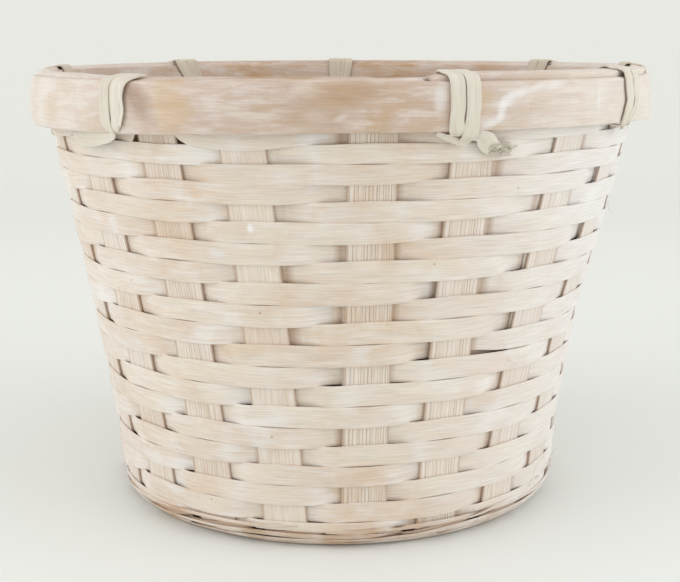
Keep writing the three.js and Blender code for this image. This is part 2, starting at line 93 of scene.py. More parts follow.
WEAVER_MIDDLE = STAKE_THICKNESS / 2 + CLEARANCE + WEAVER_THICKNESS / 2
WEAVE_FACE = WEAVER_MIDDLE + WEAVER_THICKNESS / 2
HOOP_FACE = WEAVE_FACE + CLEARANCE
OUTER_FACE = HOOP_FACE + OUTER_HOOP
INNER_FACE = HOOP_FACE + INNER_HOOP
BASE_PLANE = WEAVE_FACE

# The strips as they look: thinner than the CAD's, packed tight, with the same outer face
THIN_STAKE = 0.9
THIN_WEAVER = 0.8
THIN_GAP = 0.03
OVER = THIN_STAKE / 2 + THIN_GAP + THIN_WEAVER / 2
SHELL = WEAVE_FACE - OVER - THIN_WEAVER / 2


# The wall: a line from the middle of the base up to the rim and a little beyond, turned round
BEYOND_RIM = 8


def wall_line():
    points = [(0.0, BASE_PLANE), (FLAT_RADIUS, BASE_PLANE)]
    for angle in np.linspace(-math.pi / 2, -FOOT_LEAN, 41)[1:]:
        reach = FLAT_RADIUS + FOOT_BEND * math.cos(angle)
        points.append((reach, BASE_PLANE + FOOT_BEND * (1 + math.sin(angle))))
    start = np.array(points[-1])
    knee = start + LOWER_WALL * np.array([math.sin(FOOT_LEAN), math.cos(FOOT_LEAN)])
    rim = np.array([RIM_RADIUS - OUTER_FACE, HOOP_TOP])
    for t in np.linspace(0, 1, 201)[1:]:
        points.append(tuple((1 - t) ** 2 * start + 2 * t * (1 - t) * knee + t * t * rim))
    beyond = (rim - knee) / np.linalg.norm(rim - knee)
    points.append(tuple(rim + BEYOND_RIM * beyond))
    return np.array(points)


LINE = wall_line()
LINE_LENGTHS = np.concatenate([[0], np.cumsum(np.linalg.norm(np.diff(LINE, axis=0), axis=1))])
AT_FOOT = FLAT_RADIUS
AT_WALL = AT_FOOT + FOOT_BEND * (math.pi / 2 - FOOT_LEAN)
AT_RIM = LINE_LENGTHS[-1] - BEYOND_RIM
AT_HOOP_BOTTOM = AT_RIM - HOOP_HEIGHT
WEAVE_BOTTOM = AT_WALL - WEAVE_TUCK
WEAVE_TOP = AT_HOOP_BOTTOM - TIE_THICKNESS - 2 * CLEARANCE
BULGE = WIDTH_MIDDLE - (WIDTH_FOOT + WIDTH_RIM) / 2
MEAN_WIDTH = WIDTH_MIDDLE - BULGE / 3
COURSES = math.floor((WEAVE_TOP - WEAVE_BOTTOM) / (MEAN_WIDTH + CLEARANCE))
COURSE_PITCH = (WEAVE_TOP - WEAVE_BOTTOM) / COURSES


def line_at(along):
    """Radius, height and direction of the wall's line at a length along it."""

    def at(length):
        return [np.interp(length, LINE_LENGTHS, LINE[:, axis]) for axis in (0, 1)]

    radius, height = at(along)
    step = 0.6
    ahead, behind = at(along + step), at(along - step)
    slope = np.stack([ahead[0] - behind[0], ahead[1] - behind[1]], -1)
    slope /= np.linalg.norm(slope, axis=-1, keepdims=True)
    return radius, height, slope


# The basket isn't quite round: its right side flares out below the rim and is drawn in lower down
SWELL_BEARING = 88
SWELL_HEIGHTS = [0, 20, 35, 55, 76, 90, 105, 122, 140, 180]
SWELL = [0, -0.3, -0.8, -0.9, -1.0, -0.3, 1.0, 2.0, 2.6, 3.4]


def swell(bearing, height):
    facing = np.clip(np.cos(np.radians(np.asarray(bearing, float) - SWELL_BEARING)), 0, 1) ** 2
    return facing * np.interp(height, SWELL_HEIGHTS, SWELL)


def wall(along, out, bearing):
    """Points of the wall: a length along its line, a distance outwards, a bearing in degrees."""
    along, out, bearing = np.broadcast_arrays(*(np.asarray(v, float) for v in (along, out, bearing)))
    radius, height, slope = line_at(along)
    reach = radius + swell(bearing, height) + out * slope[..., 1]
    angle = np.radians(bearing)
    up = height - out * slope[..., 0]
    return np.stack([reach * np.sin(angle), -reach * np.cos(angle), up], -1)


def even_bearing(stake):
    return FRONT_BEARING + (stake - (STRIPS_EACH_WAY - 1) / 2) * 360 / STAKES


def stake_bearing(stake, along):
    """Bearing at a place counted in stakes, whole or between two."""
    stake = np.asarray(stake, float)
    climb = np.clip((np.asarray(along, float) - AT_FOOT) / (AT_RIM - AT_FOOT), 0, 1)
    first = np.floor(stake).astype(int)
    drift = np.array(RIM_DRIFT, float)
    part = stake - first
    mixed = drift[first % STAKES] * (1 - part) + drift[(first + 1) % STAKES] * part
    return even_bearing(stake) + climb * mixed


def stake_pitch(along):
    return line_at(along)[0] * 2 * math.pi / STAKES


# Meshes from rings of points
def corner_points(across, outwards, corner, turns):
    """Points of a rounded corner: its centre, its radius and the points' turns in degrees."""
    angles = [math.radians(turn) for turn in turns]
    return [(across + corner * math.cos(a), outwards + corner * math.sin(a)) for a in angles]


def rounded_section(width, thickness, corner, bow, front, ridges=0.0):
    """Outline of a flat strip, its bowed front face first, in so many points: across, outwards."""
    half = width / 2 - corner
    back = -thickness / 2
    across = np.linspace(-half, half, front)
    crown = bow * (1 - (across / (width / 2)) ** 2)
    face = thickness / 2 - bow + crown + ridges
    edge = thickness / 2 - bow * (1 - (1 - (half / (width / 2)) ** 2))
    points = list(zip(across, face))
    points += corner_points(half, edge - corner, corner, (60, 20))
    points += corner_points(half, back + corner, corner, (-30, -75))
    points += [(half * 0.4, back), (-half * 0.4, back)]
    points += corner_points(-half, back + corner, corner, (-105, -150))
    points += corner_points(-half, edge - corner, corner, (160, 120))
    return np.array(points)


def object_from_mesh(name, verts, faces):
    """A smooth object in the scene, in metres."""
    mesh = bpy.data.meshes.new(name)
    mesh.from_pydata([tuple(v) for v in verts], [], faces)
    mesh.polygons.foreach_set("use_smooth", [True] * len(mesh.polygons))
    obj = bpy.data.objects.new(name, mesh)
    bpy.context.scene.collection.objects.link(obj)
    return obj


def object_from_rings(name, node, rings, closed=False, start=0.0, colours=None):
    """A tube through rings of corners (mm), which shows the named node of the part.

    UV: metres along the strip, metres round its section.
    """
    rings = np.asarray(rings, float)
    count, corners = rings.shape[:2]
    verts = rings.reshape(-1, 3) * MM
    verts[:, 2] = np.maximum(verts[:, 2], 0)
    middle = rings.mean(1)
    steps = np.linalg.norm(np.diff(middle, axis=0), axis=1)
    lengths = np.concatenate([[0], np.cumsum(steps)])
    girth = np.linalg.norm(np.roll(rings[count // 2], -1, 0) - rings[count // 2], axis=1)
    around = np.concatenate([[0], np.cumsum(girth)])
    faces = []
    uvs = []
    spans = count if closed else count - 1
    closing = np.linalg.norm(middle[0] - middle[-1]) if closed else 0
    for i in range(spans):
        here, there = i * corners, ((i + 1) % count) * corners
        u0 = start + lengths[i] * MM
        u1 = start + (lengths[i + 1] if i + 1 < count else lengths[-1] + closing) * MM
        for c in range(corners):
            d = (c + 1) % corners
            faces.append((here + c, here + d, there + d, there + c))
            v0, v1 = around[c] * MM, around[c + 1] * MM
            uvs += [(u0, v0), (u0, v1), (u1, v1), (u1, v0)]
    if not closed:
        last = (count - 1) * corners
        for end, u in ((0, start), (last, start + lengths[-1] * MM)):
            order = list(reversed(range(corners)) if end == 0 else range(corners))
            faces.append(tuple(end + c for c in order))
            uvs += [(u, around[c] * MM) for c in order]
    obj = object_from_mesh(name, verts, faces)
    mesh = obj.data
    layer = mesh.uv_layers.new(name="strip")
    layer.data.foreach_set("uv", np.array(uvs, np.float32).ravel())
    if colours is not None:
        tone = mesh.attributes.new("tone", "FLOAT", "POINT")
        tone.data.foreach_set("value", np.asarray(colours, np.float32).ravel())
    mesh.validate()
    outward(mesh)
    mesh.update()
    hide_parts(node)
    return obj


def outward(mesh):
    """Turns every face over if the closed mesh is inside out."""
    points = np.empty(len(mesh.vertices) * 3)
    mesh.vertices.foreach_get("co", points)
    points = points.reshape(-1, 3)
    volume = 0.0
    for polygon in mesh.polygons:
        v = [points[i] for i in polygon.vertices]
        for k in range(1, len(v) - 1):
            volume += np.dot(v[0], np.cross(v[k], v[k + 1]))
    if volume < 0:
        mesh.flip_normals()


def wobble(rng, places, size, length):
    """A smooth seeded wander of about that size, over a length in the unit of places."""
    total = np.zeros(len(places))
    for k in range(4):
        wave = length / (1 + 0.7 * k)
        total += rng.normal() * np.sin(2 * math.pi * (places / wave + rng.random())) / (1 + k * 0.5)
    return total * size * 0.6


def smooth(t):
    t = np.clip(t, 0, 1)
    return t * t * (3 - 2 * t)


def turned(bearing):
    """The same bearing between -180 and 180 degrees."""
    return (np.asarray(bearing, float) + 180) % 360 - 180


def strand_section(thickness):
    """The section of a thin strand, as a function of its width."""
    return lambda w: rounded_section(w, thickness, thickness * 0.35, thickness * 0.2, 5)


def strip_on_wall(
    name, node, section, bearing, along, out, width, closed=False, start=0.0, lean=None, colours=None
):
    """A flat strip on the wall: its section as a function of the width, and its middle's places."""
    bearing, along, out, width = np.broadcast_arrays(bearing, along, out, width)
    rings = []
    for i in range(len(bearing)):
        across, off = section(width[i]).T
        if lean is not None:
            c, s = math.cos(lean[i]), math.sin(lean[i])
            across, off = across * c - off * s, across * s + off * c
        rings.append(wall(along[i] + across, out[i] + off, bearing[i]))
    return object_from_rings(name, node, rings, closed, start, colours)


# Weavers: one spiral over two stakes and under one, in strips
REPEAT = 3


def is_behind(count):
    return count % REPEAT == 2


def next_behind(count):
    return count if is_behind(count) else next_behind(count + 1)


FIRST_COUNT = next_behind(TIP_STAKES)
LAST_COUNT = next_behind((COURSES + 1) * STAKES - TIP_STAKES - REPEAT + 1)
REPEATS = (LAST_COUNT - FIRST_COUNT) // REPEAT


def strip_start(strip):
    return FIRST_COUNT + REPEAT * math.floor(REPEATS * strip / WEAVER_STRIPS + 0.5)


def spiral_edges(count):
    """Lower and upper edge of the spiral at a count of stakes along it."""
    rounds = np.asarray(count, float) / STAKES - 1
    climb = rounds / COURSES
    slant = (WIDTH_FOOT - WIDTH_RIM) / 2 - BULGE * (2 - 4 * climb) / 3
    low = WEAVE_BOTTOM + COURSE_PITCH * rounds + rounds * (1 - climb) * slant
    above = (rounds + 0.5) / COURSES
    width = WIDTH_FOOT + (WIDTH_RIM - WIDTH_FOOT) * above + 4 * BULGE * above * (1 - above)
    return np.maximum(low, WEAVE_BOTTOM), np.minimum(low + width, WEAVE_TOP)


SPREAD = 0.46  # how far a weaver reaches into the window above or below it
DIVE = 0.24  # how far it gives way where it crosses its neighbour
BELLY = 0.12  # how far it bows out between the two stakes that it covers
BESIDE_STAKE = 1.1  # how far from a stake's edge it starts to change sides


def weave_state(place, end_depths):
    """Depth and vertical shift of a weaver at places counted in stakes."""
    first = np.floor(place).astype(int)
    part = place - first
    low, high = spiral_edges(place)
    edge = (STAKE_WIDTH / 2 + BESIDE_STAKE) / stake_pitch((low + high) / 2)
    t = smooth((part - edge) / (1 - 2 * edge))
    counts = range(int(first.min()) - 1, int(first.max()) + 3)
    depths = {n: end_depths.get(n, -OVER if is_behind(n) else OVER) for n in counts}
    start = np.array([depths[n] for n in first])
    stop = np.array([depths[n + 1] for n in first])
    depth = start + (stop - start) * t
    kind = first % REPEAT
    depth = depth + np.where(kind == 0, BELLY * np.sin(math.pi * np.clip(part, 0, 1)), 0)
    lifts = np.array([SPREAD, -SPREAD, 0.0])
    here, there = lifts[kind], lifts[(kind + 1) % REPEAT]
    hump = np.where(kind == 1, DIVE, np.where(kind == 2, -DIVE, 0)) * np.sin(math.pi * part) ** 2
    return depth, here + (there - here) * part + hump


# Where the rows of this basket ride up (in front, half way up) and where they sag (under the band):
# by how much, about which bearing, over how many degrees, at which height, over how many mm
ROW_LEANS = [(1.4, 14, 26, 78, 42), (-1.9, -16.5, 8, 154, 11)]


def row_lean(bearing, along):
    height = line_at(along)[1]
    lean = 0
    for rise, facing, wide, level, tall in ROW_LEANS:
        away = (turned(bearing - facing) / wide) ** 2 + ((height - level) / tall) ** 2
        lean = lean + rise * np.exp(-away)
    return lean


TOP_RISE = 2.2  # how far the uppermost weaver runs up behind the band
TOP_HIDES, TOP_RETURNS = -37.6, -30  # the bearings between which it runs out of sight


def top_edges(bearing, low, high):
    """The uppermost weaver runs up behind the band, and out of sight at one stake."""
    top = smooth((high - WEAVE_TOP + 1.5) / 1.5)
    hidden = smooth((turned(bearing) - TOP_HIDES) / 1.8)
    hidden = hidden * (1 - smooth((turned(bearing) - TOP_RETURNS) / 4.5))
    hidden = np.where(high > WEAVE_TOP - 0.05, hidden, 0)
    high = high + TOP_RISE * top
    return low + (high - 0.4 - low) * hidden, high


# One weaver's lower edge stands clear of the row below: the bearings at which the slit opens and
# closes, its place along the wall's line, and how far the edge rises
SLIT_OPENS, SLIT_CLOSES, SLIT_ALONG, SLIT_RISE = 26.5, 44, 163.2, 1.8


def slit_rise(bearing, low):
    """How far a weaver's lower edge rises over the slit, given the bearing and the edge's place."""
    share = smooth((bearing - SLIT_OPENS) / 1.5)
    share = share * np.clip((SLIT_CLOSES - bearing) / (SLIT_CLOSES - SLIT_OPENS - 2), 0, 1)
    return SLIT_RISE * share * (np.abs(low - SLIT_ALONG) < 3)


def wash_and_slot_shade(rng, place, middle):
    """1 where the wash is thick, beside a stake that the weaver passes behind; 0 in the slot at the
    stake's edge, where the material paints shade.
    """
    tone = np.full(len(place), 0.5)
    reach = STAKE_WIDTH / 2 / stake_pitch(middle)
    for n in range(int(place[0]) - 1, int(place[-1]) + 2):
        if not is_behind(n):
            continue
        for hand, amount in ((-1, rng.uniform(-0.15, 0.36)), (1, rng.uniform(-0.15, 0.2))):
            away = hand * (place - n) - reach
            wide = rng.uniform(0.12, 0.4)
            tone = tone + amount * np.exp(-(((away - 0.2) / wide) ** 2))
            # Painted shade: the tone falls to 0 in the slot at the stake's edge
            tone = tone - 0.6 * (np.abs(place - n) < 0.6) * np.exp(-((away / 0.024) ** 2))
    return np.clip(tone, 0, 1)


def make_weaver(strip):
    rng = np.random.default_rng(100 + strip)
    first, last = strip_start(strip), strip_start(strip + 1)
    low, high = spiral_edges(np.array([first, last], float))
    reach = (STAKE_WIDTH / 2 - BEND_EASE) / stake_pitch(low)
    samples = int((last - first) * 10)
    place = np.linspace(first - reach[0], last + reach[1], samples)
    ends = {last: -OVER - THIN_WEAVER - 0.05} if last < LAST_COUNT else {}
    depth, shift = weave_state(place, ends)
    low, high = spiral_edges(place)
    full = np.clip((high - low) / 5.5, 0, 1)
    low, high = top_edges(stake_bearing(SPIRAL_STAKE + place, (low + high) / 2), low, high)
    middle = (low + high) / 2 + shift * full
    width = (high - low) + 2 * SPREAD * full
    width = width * (1 + wobble(rng, place, 0.02, 5))
    middle = middle + wobble(rng, place, 0.12, 6)
    depth = depth + SHELL + wobble(rng, place, 0.04, 3)
    lean = np.radians(wobble(rng, place, 1.6, 4))
    bearing = stake_bearing(SPIRAL_STAKE + place, middle)
    middle = middle + row_lean(bearing, middle)
    raised = slit_rise(turned(bearing), middle - width / 2)
    middle = middle + raised / 2
    width = np.maximum(width - raised, 0.5)
    # Tone: whitewash beside the stakes, and painted shade in the slots at their edges
    tone = wash_and_slot_shade(rng, place, middle)
    ridges = rng.normal(0, 0.035, 11)

    def section(w):
        return rounded_section(w, THIN_WEAVER, 0.22, 0.1 * min(1, w / 6), len(ridges), ridges)

    name = "weaver_%02d" % (strip + 1)
    return strip_on_wall(
        name + "_splint", name, section, bearing, middle, depth, width, start=strip * 1.37,
        lean=lean, colours=np.repeat(tone, len(section(WIDTH_MIDDLE))),
    )


# Stakes: long strips across the base and up both walls
def mat_offset(place):
    return (place - (STRIPS_EACH_WAY - 1) / 2) * (STAKE_WIDTH + MAT_GAP)


MAT_EDGE = mat_offset(STRIPS_EACH_WAY - 1) + STAKE_WIDTH / 2 + MAT_EASE
MAT_EXIT = MAT_EDGE + MAT_GAP - 2 * MAT_EASE


def unit_out(bearing):
    a = math.radians(bearing)
    return np.array([math.sin(a), -math.cos(a), 0.0])


def unit_side(bearing):
    a = math.radians(bearing)
    return np.array([math.cos(a), math.sin(a), 0.0])


def stake_frame(stake, along):
    """Middle, across, normal and roundness of a stake at a length along the wall's line."""
    bearing = float(stake_bearing(stake, along))
    out, sideways = unit_out(bearing), unit_side(bearing)
    if along >= AT_FOOT:
        radius, height, slope = line_at(along)
        radius = radius + float(swell(bearing, height))
        middle = out * radius + np.array([0, 0, height])
        normal = out * slope[1] + np.array([0, 0, -slope[0]])
        return middle, sideways, normal, float(smooth((along - AT_FOOT) / 12)) / radius
    side = FRONT_BEARING + 90 * ((stake % STAKES) // STRIPS_EACH_WAY)
    offset = mat_offset((stake % STAKES) % STRIPS_EACH_WAY)
    leave = unit_out(side) * MAT_EXIT + unit_side(side) * offset
    reach = np.linalg.norm(leave)
    fan = min(max((along - reach) / (AT_FOOT - reach), 0), 1)
    middle = leave * (1 - fan) + out * AT_FOOT * fan + np.array([0, 0, BASE_PLANE])
    across = unit_side(side) * (1 - fan) + sideways * fan
    return middle, across / np.linalg.norm(across), np.array([0, 0, -1.0]), 0.0


def stake_rings(stake, hand, section):
    top = AT_RIM - FILLER_THICKNESS - CLEARANCE
    reach = math.hypot(MAT_EXIT, mat_offset((stake % STAKES) % STRIPS_EACH_WAY))
    wall_part, bend = np.linspace(top, AT_WALL, 34)[:-1], np.linspace(AT_WALL, AT_FOOT, 12)[:-1]
    lengths = np.concatenate([wall_part, bend, np.linspace(AT_FOOT, reach, 4)])
    rings = []
    for along in lengths:
        middle, across, normal, curve = stake_frame(stake, along)
        y = section[:, 0] * hand
        out = SHELL + section[:, 1] - curve * y * y / 2
        rings.append(middle + np.outer(y, across) + np.outer(out, normal))
    return rings


def mat_rings(lengthwise, place, section):
    side = FRONT_BEARING + (0 if lengthwise else 90)
    lift = THIN_STAKE / 2 + THIN_GAP
    stations = []
    for i in range(STRIPS_EACH_WAY):
        crossing = STRIPS_EACH_WAY - 1 - i
        above = lengthwise if (place + i) % 2 == 0 else not lengthwise
        height = BASE_PLANE - SHELL + (lift if above else -lift)
        for end in (1, -1):
            stations.append((mat_offset(crossing) + end * (STAKE_WIDTH / 2 + MAT_EASE), height))
    rings = []
    for (r0, h0), (r1, h1) in zip(stations, stations[1:] + stations[-1:]):
        steps = 4 if h0 != h1 else 2
        for t in np.arange(steps) / steps:
            reach = r0 + (r1 - r0) * t
            height = h0 + (h1 - h0) * float(smooth(t))
            centre = unit_out(side) * reach + unit_side(side) * mat_offset(place)
            centre = centre + np.array([0, 0, height])
            flat = np.outer(section[:, 0], unit_side(side))
            rings.append(centre + flat + np.outer(section[:, 1], np.array([0, 0, -1.0])))
    return rings


def make_stake_strip(number):
    lengthwise = number < STRIPS_EACH_WAY
    place = number % STRIPS_EACH_WAY
    rng = np.random.default_rng(300 + number)
    smooth_faced = (lengthwise, place) == (True, 1)
    front = 61
    depth = 0.05 if smooth_faced else 0.14
    grooves = np.zeros(front)
    spot = 2
    while spot < front - 2:
        grooves[spot] = rng.uniform(0.4, 1.0)
        spot += int(rng.integers(3, 7))
    swell_across = 0.03 * np.sin(np.linspace(0, 9, front) + number)
    ridges = -depth * grooves - np.abs(swell_across)
    section = rounded_section(STAKE_WIDTH - 0.5, THIN_STAKE, 0.2, 0.0, front, ridges)
    # Tone: brown lines in the grooves; low on the sides and back, partly the bamboo's browner inner
    # side and partly painted shade of the slots beside the windows; the front face's outermost points
    # darker, also painted shade
    tone = np.full(len(section), 0.02)
    tone[:front] = 1 - grooves * (0.25 if smooth_faced else 1.0)
    tone[[0, 1, front - 2, front - 1]] = 0.3
    opposite = STRIPS_EACH_WAY - 1 - place
    first = (0 if lengthwise else STRIPS_EACH_WAY) + place
    last = first - place + 2 * STRIPS_EACH_WAY + opposite
    rings = stake_rings(first, 1, section)
    rings += mat_rings(lengthwise, place, section)
    rings += list(reversed(stake_rings(last, -1, section)))
    name = "stake_strip_%02d" % (number + 1)
    tones = np.tile(tone, len(rings))
    return object_from_rings(name + "_splint", name, rings, start=number * 2.11, colours=tones)


# Rounds at the foot and the base
def ring_strip(node, middle, width, start):
    """A closed flat round in front of every second stake and behind the others."""
    samples = 240
    place = np.arange(samples) / samples * STAKES
    first = np.floor(place).astype(int)
    part = place - first
    edge = STAKE_WIDTH / 2 / float(stake_pitch(middle)) - 0.02
    t = smooth((part - edge) / (1 - 2 * edge))
    out = SHELL + np.where(first % 2 == 0, 1.0, -1.0) * (1 - 2 * t) * OVER

    def section(w):
        return rounded_section(w, THIN_WEAVER, 0.3, 0.15, 7)

    path = (stake_bearing(place, middle), middle, out, width)
    return strip_on_wall(node + "_splint", node, section, *path, closed=True, start=start)


TWINED_HEIGHT = WEAVE_BOTTOM - AT_FOOT - 2 * CLEARANCE
TWINED_ROWS = 3
TWINED_PITCH = TWINED_HEIGHT / TWINED_ROWS
SPLINT_WIDTH = 2.9
SPLINT_THICKNESS = 0.85
SPLINT_CLIMB = 1.15


def make_foot_splint(row, strand):
    """A twined splint that climbs to the right over its stake and dives behind the next."""
    number = 2 * row + strand + 1
    rng = np.random.default_rng(500 + number)
    samples = 400
    place = np.arange(samples) / samples * STAKES
    angle = place * 2 * math.pi / STAKES
    phase = math.pi * (place + strand)
    front = np.cos(phase)
    flat = np.sign(front) * np.abs(front) ** 0.4
    out = SHELL + flat * (THIN_STAKE / 2 + SPLINT_THICKNESS / 2 + 0.04)
    centre = AT_FOOT + CLEARANCE + TWINED_PITCH * (row + 0.5) * 1.03 + SPLINT_CLIMB * np.sin(phase)
    centre = centre + wobble(rng, angle, 0.2, math.pi)
    width = SPLINT_WIDTH * (0.64 + 0.42 * np.abs(front))
    width = width * (1 + wobble(rng, angle, 0.08, math.pi / 2))
    lean = -0.5 * np.sin(phase) * np.sign(front)
    ridges = -np.abs(rng.normal(0, 0.05, 9))

    def section(w):
        return rounded_section(w, SPLINT_THICKNESS, 0.25, 0.15, len(ridges), ridges)

    name = "foot_splint_%02d" % number
    path = (stake_bearing(place, centre), centre, out, width)
    return strip_on_wall(name + "_splint", name, section, *path, True, number * 1.7, lean)


def make_loose_tail():
    """The end of a splint inside the wall, which shows through the slit."""
    steps = 24
    bearing = np.linspace(SLIT_OPENS - 4, SLIT_CLOSES + 2, steps)
    along = SLIT_ALONG + np.linspace(-1.6, -0.4, steps)
    path = (bearing, along, SHELL - OVER - THIN_WEAVER - 0.1, 5.0)
    return strip_on_wall("weaver_09_tail", "weaver_09", strand_section(0.6), *path, start=5.0)


STRANDS = 5  # to each foot splint
STRAND = strand_section(0.6)


def make_foot_strands(number):
    """Long thin strands of the twining that lie over its splints and rise to the right."""
    rng = np.random.default_rng(910 + number)
    node = "foot_splint_%02d" % number
    face = SHELL + THIN_STAKE / 2 + SPLINT_THICKNESS
    pieces = []
    for k in range(STRANDS):
        t = np.linspace(0, 1, 60)
        span = rng.uniform(40, 85)
        bearing = 12 * (STRANDS * number + k) + rng.uniform(-6, 6) + span * (t - 0.5)
        foot = AT_FOOT + 4.6 + (k * 2 % STRANDS) * 1.75 + rng.uniform(-0.6, 0.6)
        along = foot + (t - 0.5) * rng.uniform(0.5, 3.4) + wobble(rng, t, 0.4, 0.9)
        along = np.clip(along, AT_FOOT + 4.2, AT_WALL - 0.4)
        ends = np.minimum(smooth(t / 0.1), smooth((1 - t) / 0.1))
        out = face + 0.05 + 0.35 * ends + wobble(rng, t, 0.06, 0.4)
        width = rng.uniform(1.0, 1.9) * (0.3 + 0.7 * ends)
        name = "%s_strand_%d" % (node, k + 1)
        path = (bearing, along, out, width)
        pieces.append(strip_on_wall(name, node, STRAND, *path, start=rng.random()))
    bearing = np.arange(240) * 1.5
    if number == 1:
        along = AT_FOOT + 3.7 + wobble(rng, bearing / 360, 0.25, 0.2) * np.sin(np.radians(bearing / 2))
        path = (bearing, along, face + 0.05, 2.2 + 0.4 * np.sin(np.radians(bearing * 3)))
        pieces.append(strip_on_wall(node + "_round", node, STRAND, *path, closed=True))
    if number == 2 * TWINED_ROWS:
        path = (bearing, AT_WALL - 1.85, -1.25, 6.4)
        pieces.append(strip_on_wall(node + "_inside", node, strand_section(0.5), *path, closed=True))
    return pieces


# Where the hairs on the wall begin: bearing, place below the band along the wall's line, weaver
WALL_HAIRS = [
    (76, -36, 1), (38, -89, 4), (-52, -70, 6), (118, -60, 8), (203, -95, 10), (-118, -118, 12),
]
HAIRS = 15  # on the wall and in the tuft together


def make_fibres():
    """Loose fibres: a tuft at the foot on the right, and single hairs on the wall."""
    rng = np.random.default_rng(64)
    pieces = []
    for k in range(HAIRS):
        node, length = "foot_splint_06", rng.uniform(8, 17)
        bearing, along = rng.uniform(50, 74), AT_FOOT + rng.uniform(5, 17)
        rise, stand = rng.uniform(0.1, 0.9), rng.uniform(0.6, 3.2)
        if k < len(WALL_HAIRS):
            bearing, below, weaver = WALL_HAIRS[k]
            along = AT_HOOP_BOTTOM + below
            node = "weaver_%02d" % weaver
            rise, stand = rng.uniform(-0.3, 0.6), rng.uniform(1.5, 3.0)
        t = np.linspace(0, 1, 14)
        turn = rng.uniform(-0.6, 0.6)
        aside = length * t / 2.0
        up = length * rise * t * (1 - turn * t)
        out = WEAVE_FACE - 0.25 + stand * t**1.6
        path = (bearing + aside * 0.5 * (1 if k % 3 else -1), along + up, out, 0.34 - 0.14 * t)
        name = "%s_hair_%d" % (node, k + 1)
        pieces.append(strip_on_wall(name, node, strand_section(0.2), *path, start=k))
    return pieces


# Rim
def hoop_section(height, thickness, corner, bow):
    """Outline of a hoop, outer face first: along the wall, outwards from the hoop's inner face."""
    half = height / 2 - corner
    along = np.linspace(-half, half, 9)
    face = thickness - bow * (along / (height / 2)) ** 2
    chamfer, chamfer_height = 0.3, 0.35
    edge = half + corner
    points = list(zip(along, face))
    points += corner_points(half, face[-1] - corner, corner, (60, 25, -10))
    points += [(edge, chamfer_height), (edge - chamfer, 0.0), (0.0, 0.0)]
    points += [(-half - corner + chamfer, 0.0), (-half - corner, chamfer_height)]
    points += corner_points(-half, face[0] - corner, corner, (190, 155, 120))
    return np.array(points)


DROP_BEARINGS = [-150, -100, -75, -38, -15, 0]
DROP = [0, 1.2, 1.7, 1.7, 0.5, 0]


def band_drop(bearing):
    """How far the outer band's lower edge hangs below the even line."""
    return float(np.interp(turned(bearing), DROP_BEARINGS, DROP))


STAND_BEARINGS = [-180, -140, -110, -90, -62, -38, 0, 30, 60, 75, 90, 110, 140, 180]
STAND = [2.5, 3.4, 4.2, 4.3, 4.0, 2.8, 1.6, 1.6, 2.4, 4.6, 6.0, 5.2, 3.4, 2.5]
BAND_EDGE = AT_HOOP_BOTTOM - 1.5  # below it the stand fades out


def band_stand(bearing, along):
    """How far the outer band stands off: it is upright, and the wall leans in below its top."""
    part = np.clip((AT_RIM - along) / HOOP_HEIGHT, 0, 1)
    fading = np.clip((BAND_EDGE - along) / 4, 0, 1)
    return np.interp(turned(bearing), STAND_BEARINGS, STAND) * part * (1 - fading)


def make_hoop(node, thickness, lap_stake, hand, seed):
    """A hoop whose ends overlap in a scarf lap. Hand: 1 outside the stakes, -1 inside them."""
    rng = np.random.default_rng(seed)
    samples = 260
    place = np.linspace(0, STAKES + HOOP_LAP, samples)
    middle = AT_RIM - HOOP_HEIGHT / 2
    sway = wobble(rng, place * 2 * math.pi / STAKES, 0.15, math.pi)
    rings = []
    for i, p in enumerate(place):
        starting = min(max(p / HOOP_LAP, 0), 1)
        ending = min(max((p - STAKES) / HOOP_LAP, 0), 1)
        climb = float(smooth((p - (STAKES - 0.8)) / 0.8))
        under = HOOP_TIP + (thickness - HOOP_TIP) * ending + CLEARANCE
        near = HOOP_FACE + climb * under
        thick = HOOP_TIP + (thickness - HOOP_TIP) * min(starting, 1 - ending)
        corner, bow = min(0.75, thick * 0.45), 0.45 * min(1, thick / 2)
        section = hoop_section(HOOP_HEIGHT, thick, corner, bow)
        bearing = stake_bearing(lap_stake + p, middle)
        drop = band_drop(bearing) if hand > 0 else 0
        along = middle + section[:, 0] * (1 + drop / HOOP_HEIGHT) - drop / 2
        out = hand * (near + section[:, 1] + sway[i] * 0.3)
        if hand > 0:
            out = out + band_stand(bearing, np.maximum(along, BAND_EDGE))
        rings.append(wall(along, out, bearing))
    return object_from_rings(node + "_bamboo", node, rings, start=seed * 0.77)


FILLER_PLACES = [0.5, 0.56, 0.95, 5.5, 12, 14.6, 16.2, FILLER_PROUD_STAKES, 17.8, 99]
FILLER_SHARES = [0.2, 0.55, 1, 1, 1, 0.6, 0.5, 0.45, 0, 0]


def filler_rise(place):
    """How far the filler stands proud of the hoops, at a place counted in stakes from its start."""
    return FILLER_RISE * np.interp(place, FILLER_PLACES, FILLER_SHARES)


def make_filler():
    place = np.linspace(0.5, STAKES + 0.44, 320)
    rng = np.random.default_rng(41)
    half = HOOP_FACE - 0.03
    corner = 0.55
    rise = filler_rise(place) + wobble(rng, place, 0.08, 5)
    rings = []
    for i, p in enumerate(place):
        high = AT_RIM + rise[i]
        low = high - FILLER_THICKNESS - 0.6 * rise[i]
        points = corner_points(-half + corner, high - corner, corner, (170, 135, 100))
        points += corner_points(half - corner, high - corner, corner, (80, 45, 10))
        points += corner_points(half - corner, low + corner, corner, (-10, -45, -80))
        points += corner_points(-half + corner, low + corner, corner, (-100, -135, -170))
        out, along = np.array(points).T
        rings.append(wall(along, out, stake_bearing(FILLER_STAKE + p, AT_RIM)))
    return object_from_rings("rim_filler_bamboo", "rim_filler", rings, start=31.0)


